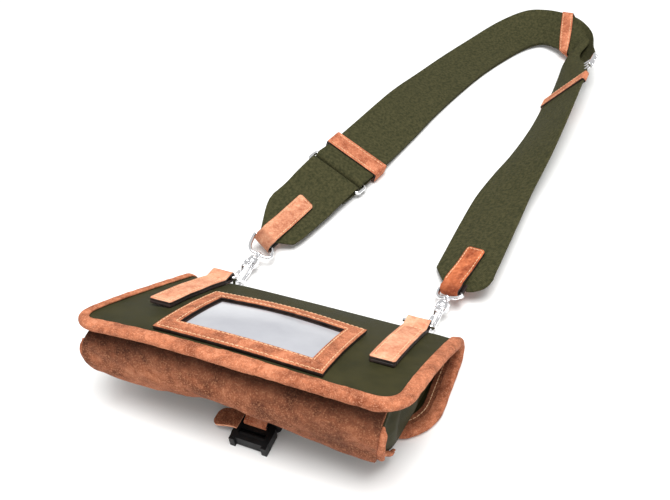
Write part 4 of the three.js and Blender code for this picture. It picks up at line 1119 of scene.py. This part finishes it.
# strap: inner edge on the floor, lean and turn in degrees, width, and where its two layers run
strapRoute = [  # x, y, z, lean, turn, chord, top, low
    (-48, 170, 6.6, 14, 164.5, 50, 0, -2.3),
    (-36.5, 211, 6.6, 14, 164.5, 50, 0, -2.3),
    (-31, 234, 6.6, 17, 165, 50, 1.8, -1.8),
    (-25, 256, 6.6, 19.8, 165.5, 50, 3.8, -3.8),
    (-18, 283, 6.4, 20.5, 166.5, 50, 1.2, -1.2),
    (-11.5, 320, 3.6, 23, 169.5, 50, 1.15, -1.15),
    (-4.5, 357, 2.8, 23, 169.5, 50, 1.15, -1.15),
    (1.5, 391, 2.6, 18.5, 168, 50, 1.15, -1.15),
    (12, 436, 2.6, 11, 165.4, 50, 1.15, -1.15),
    (25.2, 482, 2.6, 7.5, 161, 50, 1.15, -1.15),
    (40.5, 520, 2.8, 8, 154, 50, 1.15, -1.15),
    (56, 548.5, 3.8, 13, 141, 50, 1.15, -1.15),
    (71, 560.5, 5.2, 20, 124, 50, 1.15, -1.15),
    (85, 554.5, 6.4, 24, 110, 50, 1.15, -1.15),
    (99.5, 541.5, 7.2, 26, 98, 50, 1.15, -1.15),
    (106, 533.5, 6.6, 30, 67, 38, 1.15, -2.6),
    (105, 518, 5.8, 44, 28, 36, 1.15, -3.4),
    (102, 503, 5.4, 45, -2, 46, 1.15, -2.4),
    (100.5, 486, 5.2, 46, -8, 50, 1.15, -1.7),
    (98.5, 443, 4.8, 48, -7, 50, 0.4, -2),
    (93.9, 394, 3, 45.5, -7.5, 50, 0, -2.3),
    (86.2, 349, 2, 37.5, -11, 50, 0, -2.3),
    (78, 315, 1.7, 28.5, -12, 50, 0, -2.3),
    (71.2, 280, 1.7, 22.5, -8, 50, 0, -2.3),
    (68.3, 243, 2.6, 20.5, -4, 50, 0, -2.3),
    (66.7, 212, 3.6, 20.5, -3.3, 50, 0, -2.3),
    (64.6, 176, 3.6, 20.5, -3.3, 50, 0, -2.3),
]
strap = {
    "width": 50.0, "thick": 2.0, "edge": 0.6, "ringRow": 3, "foldRows": 0.2,
    "barOffset": 5.3, "foldRadius": 3.8, "step": 1.5, "droopRun": 24.0, "stations": 14, "arch": 0.4,
}
strapCuts = {  # each row: reach along the strap from its route's end, and the span of its width left there
    "left": {"droop": 0.8, "dip": 0.0, "rows": [
        (-6, 13, 29.5), (2.5, 1.5, 35), (8, 0.7, 38.6), (13, 0, 41.8), (20, 0, 45.8), (26, 0, 48.4),
        (33, 0, 50),
    ]},
    "right": {"droop": 2.0, "dip": 3.5, "rows": [
        (-14, 31, 35), (-12.6, 31, 40), (-10, 31, 44.5), (-8.3, 31, 46.3), (-8, 13.5, 46.6), (-3, 9, 49.3),
        (9.5, 0, 50),
    ]},
}
rowCount = len(strapRoute) - 1
pinches = {  # rows, and the share of the strap's width that each layer takes there, seen flat
    "top": [(14.9, 1), (15.2, 0.85), (15.45, 0.68), (15.7, 0.53), (16.3, 0.48), (17, 0.51), (17.5, 0.59),
            (18, 0.69), (18.4, 0.8), (18.8, 0.93), (19.1, 1)],
    "low": [(15.0, 1), (15.5, 0.93), (16.2, 0.89), (17, 0.85), (17.8, 0.86), (18.4, 0.95)],
}
pinchRise = {"top": 9.0, "low": -45.0}  # rise of a layer for each share of its width taken in
pinchBlur = (-0.2, -0.1, 0, 0.1, 0.2)  # rows over which the pinch is smoothed


def strapFrames(rows):
    share = np.atleast_1d(np.asarray(rows, float)) / rowCount
    values = catmull(strapRoute, share)
    nudge = 1e-4
    ahead = catmull(strapRoute, np.minimum(share + nudge, 1))[:, :2]
    tangent = np.zeros((len(share), 3))
    tangent[:, :2] = ahead - catmull(strapRoute, np.maximum(share - nudge, 0))[:, :2]
    lean, turn = np.radians(values[:, 3]), np.radians(values[:, 4])
    across = xyz(np.cos(lean) * np.cos(turn), np.cos(lean) * np.sin(turn), np.sin(lean))
    normal = unit(np.cross(tangent, across))
    return {
        "p": values[:, :3], "across": across, "normal": normal, "heading": np.cross(across, normal),
        "chord": values[:, 5], "top": values[:, 6], "low": values[:, 7],
    }


def onStrap(frames, w, n):
    w, n = np.asarray(w, float)[..., None], np.asarray(n, float)[..., None]
    return frames["p"] + frames["across"] * w + frames["normal"] * n


def layerRun(fromRow, toRow, layer):
    count = max(4, int(abs(toRow - fromRow) * strap["stations"]))
    rows = np.linspace(fromRow, toRow, count)
    frames = strapFrames(rows)
    pinchRows, shares = np.array(pinches[layer]).T
    share = np.mean([np.interp(rows + d, pinchRows, shares) for d in pinchBlur], 0)
    width = frames["chord"] * share
    rise = pinchRise[layer] * (1 - share)
    return onStrap(frames, width / 2, frames[layer] + rise), frames["across"], width


def evenRun(frames, points):
    # a run that keeps its width and lean
    count = len(points)
    return points, np.repeat(frames["across"], count, 0), np.full(count, strap["width"])


def foldRun(barSign, fromAngle, toAngle):
    # webbing round one bar of the strap ring
    frames = strapFrames(strap["ringRow"])
    bar = frames["p"] + frames["heading"] * barSign * strap["barOffset"]
    bar = bar + frames["across"] * strap["width"] / 2
    angle = np.radians(np.linspace(fromAngle, toAngle, 16))[:, None]
    facing = frames["heading"] * np.cos(angle) + frames["normal"] * np.sin(angle)
    return evenRun(frames, bar + facing * strap["foldRadius"])


def endRun(side):
    # the strap's end goes on straight past its route
    frames = strapFrames(0 if side == "left" else rowCount)
    reach = strapCuts[side]["rows"][0][0]
    out = np.linspace(reach, 0, 9)[:-1] if side == "left" else np.linspace(0, -reach, 9)[1:]
    middle = onStrap(frames, frames["chord"] / 2, frames["top"])
    middle = middle - frames["normal"] * (strapCuts[side]["dip"] * ease(abs(out), 0, abs(reach)))[:, None]
    return evenRun(frames, middle + frames["heading"] * out[:, None])


def webbing(name, runs, startCut, endCut, node):
    path, side, width = (np.concatenate([run[k] for run in runs]) for k in range(3))
    distance = runOf(path)
    spare = np.clip(strap["width"] - width, 0, None)
    cup = strap["arch"] * np.sqrt(3 / 8 * width * spare)  # pinched webbing arches up
    for cut, away in ((startCut, distance), (endCut, distance[-1] - distance)):
        if cut:
            cup = cup + cut["droop"] * (1 - ease(away, 0, strap["droopRun"]))

    def trim(s, total):
        near, far = np.zeros_like(s), np.zeros_like(s)
        for cut, away in ((startCut, s), (endCut, total - s)):
            if cut:
                reach, low, high = np.array(cut["rows"], float).T
                near = np.maximum(near, np.interp(away + reach[0], reach, low))
                far = np.maximum(far, strap["width"] - np.interp(away + reach[0], reach, high))
        return near, far

    strip = ribbon(path, side, width, strap["thick"], trim, 20, strap["edge"], strap["step"], cup)
    flip = 1 if strip["normal"][len(strip["s"]) // 2][2] > 0 else -1
    strip["cup"] = strip["cup"] * flip
    strip["centre"] = strip["centre"] - strip["normal"] * strip["cup"][:, None]
    piece = makePiece(name, ribbonShape(strip), [look["webbing"]] * 2, replaced=[node])
    return strip


slider = {
    "row": 18.3, "rail": 2.2, "room": 0.8, "tuck": -3.2, "back": 0.3, "fore": 0.3, "high": 2.4, "low": -2.9,
    "innerRail": (2.0, 4.2, -1.3),  # from, to and height
    "corner": 0.75, "bars": (-0.22, 0.0, 0.22), "barStart": 3.0, "barEnd": 0.6, "barHeight": -1.6,
    "wire": 1.3,
}
foldStart, foldEnd = strap["ringRow"] - strap["foldRows"], strap["ringRow"] + strap["foldRows"]
leftStrip = webbing("strap_left_webbing", [
    endRun("left"), layerRun(0, foldStart, "top"), foldRun(-1, 90, -90),
    layerRun(foldStart, strap["ringRow"] - 1, "low"),
], strapCuts["left"], None, "strap_left_end")
longStrip = webbing("strap_long_webbing", [
    layerRun(slider["row"] - slider["back"], foldEnd, "low"), foldRun(1, 270, 90),
    layerRun(foldEnd, rowCount, "top"), endRun("right"),
], None, strapCuts["right"], "strap_long")
print("strap done:", round(leftStrip["total"]), "and", round(longStrip["total"]), "mm of webbing")

# metal ring and slider on the strap
strapRing = {"wire": 1.6, "room": 0.8, "corner": 2.5}
ringFrame = strapFrames(strap["ringRow"])
ringAcross, ringHeading = ringFrame["across"][0], ringFrame["heading"][0]
ringHalf = strap["width"] / 2 + strapRing["room"] + strapRing["wire"]
barAt, corner = strap["barOffset"], strapRing["corner"]
loop = roundedLoop(ringHalf, -barAt, barAt, corner, corner, straight=20)
ringMiddle = ringFrame["p"][0] + ringAcross * strap["width"] / 2
path = ringMiddle + loop[:, :1] * ringAcross + loop[:, 1:] * ringHeading
metalPiece("strap_ring", tubeShape(path, strapRing["wire"], 16, closed=True, up=ringFrame["normal"][0]))


def roundedBox(w0, w1, n0, n1, corner, steps=5, straight=3):
    loop = roundedLoop((w1 - w0) / 2, n0, n1, corner, corner, steps, straight)
    return loop + np.array([(w0 + w1) / 2, 0])


def sliderShape():
    bits = []
    reach = slider["room"] + slider["rail"]
    outer = strap["width"] + slider["tuck"]
    rails = [slider["innerRail"], (outer + slider["room"], outer + reach, slider["high"])]
    for w0, w1, high in rails:
        rows = np.linspace(-slider["back"], slider["fore"], 9)
        rows = np.concatenate([rows[:1], rows, rows[-1:]])
        frames = strapFrames(slider["row"] + rows)
        full = roundedBox(w0, w1, slider["low"], high, slider["corner"])
        middle = full.mean(0)
        sections = np.repeat(full[None], len(rows), 0)
        sections[[0, -1]] = middle + (full - middle) * np.array([0.5, 0.88])
        bits.append(sweepShape(sections, frames["p"], frames["across"], frames["normal"], False))
    for row in slider["bars"]:
        frames = strapFrames(slider["row"] + row)
        ends = np.linspace(slider["barStart"], outer + reach - slider["barEnd"], 24)
        path = frames["p"] + frames["across"] * ends[:, None] + frames["normal"] * slider["barHeight"]
        bits.append(tubeShape(path, slider["wire"], 14, up=frames["normal"][0]))
    return joined(bits)


metalPiece("strap_slider", sliderShape())

# suede keepers round the webbing
keeper = {"corner": 1.5, "innerCorner": 0.5, "along": 12, "round": 0.12, "stitchRows": (-0.72, 0.72)}
keepers = [  # name, row, half its length in rows at the inner and outer edge, layers inside, room, wall
    ("strap_keeper_1", 4, 0.27, 0.27, 2, 0.9, 1.8),
    ("strap_keeper_2", 14, 0.4, 0.2, 2, 0.3, 1.5),
    ("strap_keeper_3", 19.12, 0.14, 0.14, 1, 0.2, 1.4),
]


def keeperRows(row, inner, outer, w, share):
    # rows of a band with straight sides, for places across the strap
    half = lerp(inner, outer, np.clip(w / strap["width"], 0, 1))
    return row + half * share


def keeperShape(row, inner, outer, layers, room, wall):
    middle = strapFrames(row)
    low = middle["low"][0] if layers == 2 else middle["top"][0]
    high, chord = middle["top"][0], middle["chord"][0]
    grids = []
    for grow in (room + wall, room):
        soft = keeper["corner"] if grow > room else keeper["innerCorner"]
        thick = strap["thick"] / 2 + grow
        loop = roundedBox(-grow, chord + grow, low - thick, high + thick, soft, 5, 16)
        rings = []
        for share in np.linspace(-1, 1, keeper["along"]):
            frames = strapFrames(keeperRows(row, inner, outer, loop[:, 0], share))
            rings.append(onStrap(frames, loop[:, 0], loop[:, 1]))
        grids.append(np.array(rings))
    outside, inside = grids
    outside[[0, -1]] = lerp(outside[[0, -1]], inside[[0, -1]], keeper["round"])
    rows, cols = outside.shape[:2]
    count = rows * cols
    faces = gridFaces(rows, cols, wrapCols=True)
    skin = np.vstack([faces, faces[:, ::-1] + count])
    ring = np.arange(cols)
    after = (ring + 1) % cols
    last = (rows - 1) * cols
    rims = [(at + ring, at + after) for at in (0, last)]
    ends = [np.stack([a, b, count + b, count + a], -1) for a, b in rims]
    slots = [0] * len(skin) + [1] * 2 * cols
    points = np.vstack([outside.reshape(-1, 3), inside.reshape(-1, 3)])
    size = (runOf(outside[:, 0])[-1], runOf(outside[rows // 2], closed=True)[-1])
    return shape(points, np.vstack([skin, *ends]), None, slots), size


for name, row, inner, outer, layers, room, wall in keepers:
    made, size = keeperShape(row, inner, outer, layers, room, wall)
    piece = suedePiece(name, made, "strapSuede", sharp=50)
    rows = []
    for share in keeper["stitchRows"]:
        w = np.linspace(1, strapFrames(row)["chord"][0] - 1, 30)
        frames = strapFrames(keeperRows(row, inner, outer, w, share))
        high = strapFrames(row)["top"][0] + strap["thick"] / 2 + room + wall
        rows.append(stitchShape(onStrap(frames, w, np.full(30, high)), frames["normal"]))
    sewnPiece(name, joined(rows))
print("strap fittings done")

# swivel snap hooks, drawn with x across the bow, y along the hook and z towards the gate
hook = {
    "wire": 1.6, "bow": 5.6, "gateY": 14.2, "gateZ": 4.3, "gateThick": 2.8, "pin": 0.75, "pinReach": 2.6,
    "ear": (1.3, 2.1, 0.9),  # half height, half length and corner
    "earX": 2.3, "earY": 15.0, "earSteps": (-0.6, -0.45, 0.45, 0.6), "earShares": (0.86, 1, 1, 0.86),
}
eye = {"near": 28.5, "half": 10.5, "wire": 1.5, "nearCorner": 6.0, "farCorner": 2.5}
strapTab = {
    "width": 17.0, "layer": 1.9, "slot": 1.6, "loop": 4.3, "join": 3.0, "corner": 3.0,
    "bend": 1.2, "bendAt": 7.0, "bendEnd": 26.0, "sewIn": 1.5, "sewStart": 6.0, "sewEnd": 1.7,
}
strapTabs = {
    "left": {"length": 56.0, "turn": -8.0, "bar": 42.5, "aside": -3.0, "skew": 0.26,
             "look": "palerSuede", "shadeAndGrime": 0.42},
    "right": {"length": 45.0, "turn": -4.0, "bar": 36.0, "aside": 0.0, "skew": 0.26,
              "look": "redderSuede", "shadeAndGrime": 0.25},
}


def hookBodyShape():
    barrel = latheShape([
        (1.9, 16.0), (4.2, 16.0), (4.6, 16.35), (4.75, 17.0), (4.55, 17.4), (4.95, 17.9), (5.0, 19.0),
        (4.9, 20.6), (4.6, 21.2), (4.75, 21.6), (4.5, 22.4), (3.7, 22.95), (1.9, 23.0),
    ])
    bend = np.radians(np.linspace(0, 180, 13)[1:])
    shank = [(0, 17.5, -3.4), (0, 12, -5.3), (0, 6, -hook["bow"]), (0, 0, -hook["bow"])]
    shank += [(0, -hook["bow"] * math.sin(a), -hook["bow"] * math.cos(a)) for a in bend]
    shank.append((0, 2.4, hook["bow"]))
    path = catmull(shank, np.linspace(0, 1, 90))
    bow = tubeShape(path, hook["wire"], 16, up=(1, 0, 0))
    ears = []
    towardsGate, lengthwise = np.tile([0, 0, 1.0], (4, 1)), np.tile([0, 1.0, 0], (4, 1))
    for sign in (-1, 1):
        half, reach, corner = hook["ear"]
        outline = roundedLoop(half, -reach, reach, corner, corner, 5, 2)
        centres = xyz(sign * hook["earX"] + np.array(hook["earSteps"]), hook["earY"], hook["gateZ"])
        sections = outline[None] * np.array(hook["earShares"])[:, None, None]
        ears.append(sweepShape(sections, centres, towardsGate, lengthwise, False))
    pin = xyz(np.linspace(-hook["pinReach"], hook["pinReach"], 5), hook["gateY"], hook["gateZ"])
    return joined([barrel, bow, *ears, tubeShape(pin, hook["pin"], 12)])


def gateShape():
    # flat lever with a raised thumb stud, hinged at its back
    outline = catmull([
        (1.5, 1.7), (1.4, 3.3), (4.0, 3.9), (6.4, 4.6), (7.6, 7.0), (8.9, 7.7), (10.2, 7.2), (11.2, 5.8),
        (12.6, 5.7), (14.2, 5.8), (15.4, 5.2), (15.8, 4.3), (15.4, 3.2), (14.2, 2.7), (10.0, 2.3), (5.0, 1.9),
        (1.5, 1.7),
    ], np.linspace(0, 1, 80)[:-1])
    middle = np.array([8.0, 3.6])
    half = hook["gateThick"] / 2
    rings = []
    rounding = [(0.0, 0.35), (0.12, 0.14), (0.4, 0.0)]
    sides = [(d - half, cut) for d, cut in rounding] + [(half - d, cut) for d, cut in rounding[::-1]]
    for x, cut in sides:
        flat = outline - unit(outline - middle) * cut
        rings.append(xyz(x, flat[:, 0], flat[:, 1]))
    return shape(np.vstack(rings), cappedFaces(len(rings), len(outline)))


def eyeShape(tab):
    # the bar end of the loop follows the tab's slanted fold
    loop = roundedLoop(eye["half"], eye["near"], tab["bar"], eye["nearCorner"], eye["farCorner"], 10)
    slant = tab["skew"] - math.tan(math.radians(tab["turn"]))
    far = ease(loop[:, 1], eye["near"], tab["bar"])
    loop = loop + np.column_stack([tab["aside"] * far, -slant * loop[:, 0] * far])
    path = np.column_stack([loop, np.zeros(len(loop))])
    post = latheShape([
        (0.01, 14.7), (2.0, 14.7), (2.2, 14.9), (2.2, 15.5), (1.5, 15.6),
        (1.5, 26.8), (2.5, 27.4), (2.7, 28.5), (1.8, 29.9), (0.01, 30.1),
    ])
    return joined([tubeShape(path, eye["wire"], 16, closed=True), post])


def strapTabStrip(length):
    # drawn from the eye's bar, which it loops round
    level = strapTab["slot"] + strapTab["layer"] / 2
    radius = strapTab["loop"] - strapTab["layer"] / 2
    join = math.sqrt(radius**2 - level**2) + strapTab["join"]
    out = np.linspace(length, join, 40)
    angle = np.radians(np.linspace(65, 295, 26))
    loop = xyz(0.0, radius * np.cos(angle), radius * np.sin(angle))
    top = xyz(0.0, out, level)
    low = top[::-1] * np.array([1, 1, -1])
    bendAt = strapTab["bendAt"]  # the upper layer humps a little before it turns down to the bar
    top[:, 2] += strapTab["bend"] * ease(out, 3, bendAt) * (1 - ease(out, bendAt, strapTab["bendEnd"]))
    path = np.vstack([top, loop, low])
    trim = roundedTrim(strapTab["corner"], strapTab["corner"])
    return ribbon(path, (1, 0, 0), strapTab["width"], strapTab["layer"], trim, step=1.0)


for sideName in ("left", "right"):
    middle, level, along, facing = hookAxes(sideName)
    tab = strapTabs[sideName]
    for name, body, drawn in (
        ("hook_body_", "hook_", hookBodyShape()),
        ("hook_gate_", "gate_", gateShape()),
    ):
        metalPiece(name + sideName, placed(drawn, middle, level, along, facing), body + sideName, sharp=40)
    normal = strapFrames(0 if sideName == "left" else rowCount)["normal"][0]
    cross = unit(np.cross(along, normal))
    metalPiece("hook_eye_" + sideName, placed(eyeShape(tab), middle, cross, along, normal), sharp=50)
    length, turn = tab["length"], math.radians(tab["turn"])
    tabAlong = along * math.cos(turn) - cross * math.sin(turn)
    tabAxes = (cross * math.cos(turn) + along * math.sin(turn) - tabAlong * tab["skew"], tabAlong, normal)
    barMiddle = middle + along * tab["bar"] + cross * tab["aside"]
    strip = strapTabStrip(length)
    made = placed(ribbonShape(strip, darkBack=True), barMiddle, *tabAxes)
    bent = length - strapTab["bendAt"]
    # painted shade on the tab's bent end, where it turns down to the eye
    made["lay"][:, 2] = tab["shadeAndGrime"] * ease(made["lay"][:, 1], bent - 1, bent + 6)
    piece = suedePiece("strap_tab_" + sideName, made, tab["look"])
    reach = strapTab["width"] / 2 - strapTab["sewIn"]
    s, w = threadRoute(length - strapTab["sewStart"], strapTab["sewEnd"], reach)
    sewnPiece("strap_tab_" + sideName, placed(sewnRow(strip, s, w), barMiddle, *tabAxes))
print("hooks and strap tabs done")

# closure: moulded buckle and its suede strips
closure = {"x": 2.0, "width": 15.5, "thick": 2.0, "tailWidth": 13.0, "tailY": 9.0, "tailRound": 5.0}
buckle = {"softEdge": 0.0006, "barHalf": 8.6, "barY": 3.2, "barZ": 4.6, "bar": 2.1}
closureRoutes = {  # y and z of the middle line; the tail runs along x instead
    "closure_bag_strap": [(9.5, 8.6), (8.4, 10.2), (10, 11.6), (20, 15.2), (30, 19.7), (38, 20.1)],
    "closure_flap_strap": [(27.5, 10.4), (36, 10.2), (46, 8), (56, 4.8), (64, 3.6)],
    "closure_tail": [(-10, 10.35), (-14, 10.2), (-21, 8), (-29, 4.8)],
}
for name, route in closureRoutes.items():
    line = catmull([(0, y, z) for y, z in route], np.linspace(0, 1, 60))
    if name == "closure_tail":
        path = xyz(closure["x"] + line[:, 1], closure["tailY"], line[:, 2])
        trim = roundedTrim(0, closure["tailRound"])
        strip = ribbon(path, (0, 1, 0), closure["tailWidth"], closure["thick"], trim, step=1.0)
    else:
        path = line + np.array([closure["x"], 0, 0])
        strip = ribbon(path, (1, 0, 0), closure["width"], closure["thick"], step=1.0)
    face, edge = ("bottomSuede", "paleSuede") if name == "closure_tail" else ("strapSuede", "edge")
    piece = suedePiece(name, ribbonShape(strip), face, edge)

across = closure["x"] + np.linspace(-buckle["barHalf"], buckle["barHalf"], 9)
bar = xyz(across, buckle["barY"], buckle["barZ"])
makePiece("buckle_cross_bar", tubeShape(bar, buckle["bar"], 16), [look["black"]])
for name in ("buckle_male", "buckle_female"):
    node = frame["nodes"][name]
    node.data.materials.clear()
    node.data.materials.append(look["black"])
    soften = node.modifiers.new("softEdges", "BEVEL")
    soften.width, soften.segments = buckle["softEdge"], 2
    soften.limit_method, soften.angle_limit = "ANGLE", math.radians(35)
print("closure done")

# pale floor, soft light and the camera
stage = {
    "floor": 6.0, "world": 0.55,
    "finish": {"Base Color": (0.9, 0.9, 0.89, 1), "Roughness": 0.6, "Specular IOR Level": 0.2},
}
floorMesh = bpy.data.meshes.new("studioFloor")
half = stage["floor"] / 2
floorCorners = [(-half, -half, 0), (half, -half, 0), (half, half, 0), (-half, half, 0)]
floorMesh.from_pydata(floorCorners, [], [(0, 1, 2, 3)])
floorMaterial, _, floorShader = newMaterial("paleFloor")
setSockets(floorShader, stage["finish"])
floorMesh.materials.append(floorMaterial)
floor = bpy.data.objects.new("studioFloor", floorMesh)
bpy.context.scene.collection.objects.link(floor)

world = bpy.data.worlds.new("studio")
world.use_nodes = True
setSockets(world.node_tree.nodes["Background"].inputs, {"Color": (1, 1, 1, 1), "Strength": stage["world"]})
bpy.context.scene.world = world


def standing(right, up, back, place):
    return Matrix([[*row] for row in zip(right, up, back, place)] + [[0, 0, 0, 1]])


softboxes = [  # name, place, aim, size, power
    ("topSoftbox", (0.2, -0.06, 1.5), (0.05, 0.12, 0.0), 1.0, 30.0),
    ("frontFill", (0.4, -1.3, 0.8), (0.0, 0.0, 0.05), 0.9, 2.5),
]
for name, place, aim, size, power in softboxes:
    light = bpy.data.lights.new(name, "AREA")
    light.shape, light.size, light.energy = "SQUARE", size, power
    lamp = bpy.data.objects.new(name, light)
    back = unit(np.array(place) - np.array(aim))
    right = unit(np.cross([0, 0, 1.0], back))
    lamp.matrix_world = standing(right, np.cross(back, right), back, place)
    bpy.context.scene.collection.objects.link(lamp)

view = {
    "place": (0.17494, -0.27903, 0.38774), "lens": 39.12,
    "right": (0.9203, 0.3839, -0.0746), "up": (-0.2063, 0.6388, 0.7412), "back": (0.3322, -0.6668, 0.6671),
}
cameraData = bpy.data.cameras.new("photoView")
cameraData.lens, cameraData.sensor_width = view["lens"], 36.0
cameraData.clip_start = 0.01
camera = bpy.data.objects.new("photoView", cameraData)
camera.matrix_world = standing(view["right"], view["up"], view["back"], view["place"])
bpy.context.scene.collection.objects.link(camera)
bpy.context.scene.camera = camera
bpy.context.scene.view_settings.view_transform = "Standard"
print("stage, light and camera done")
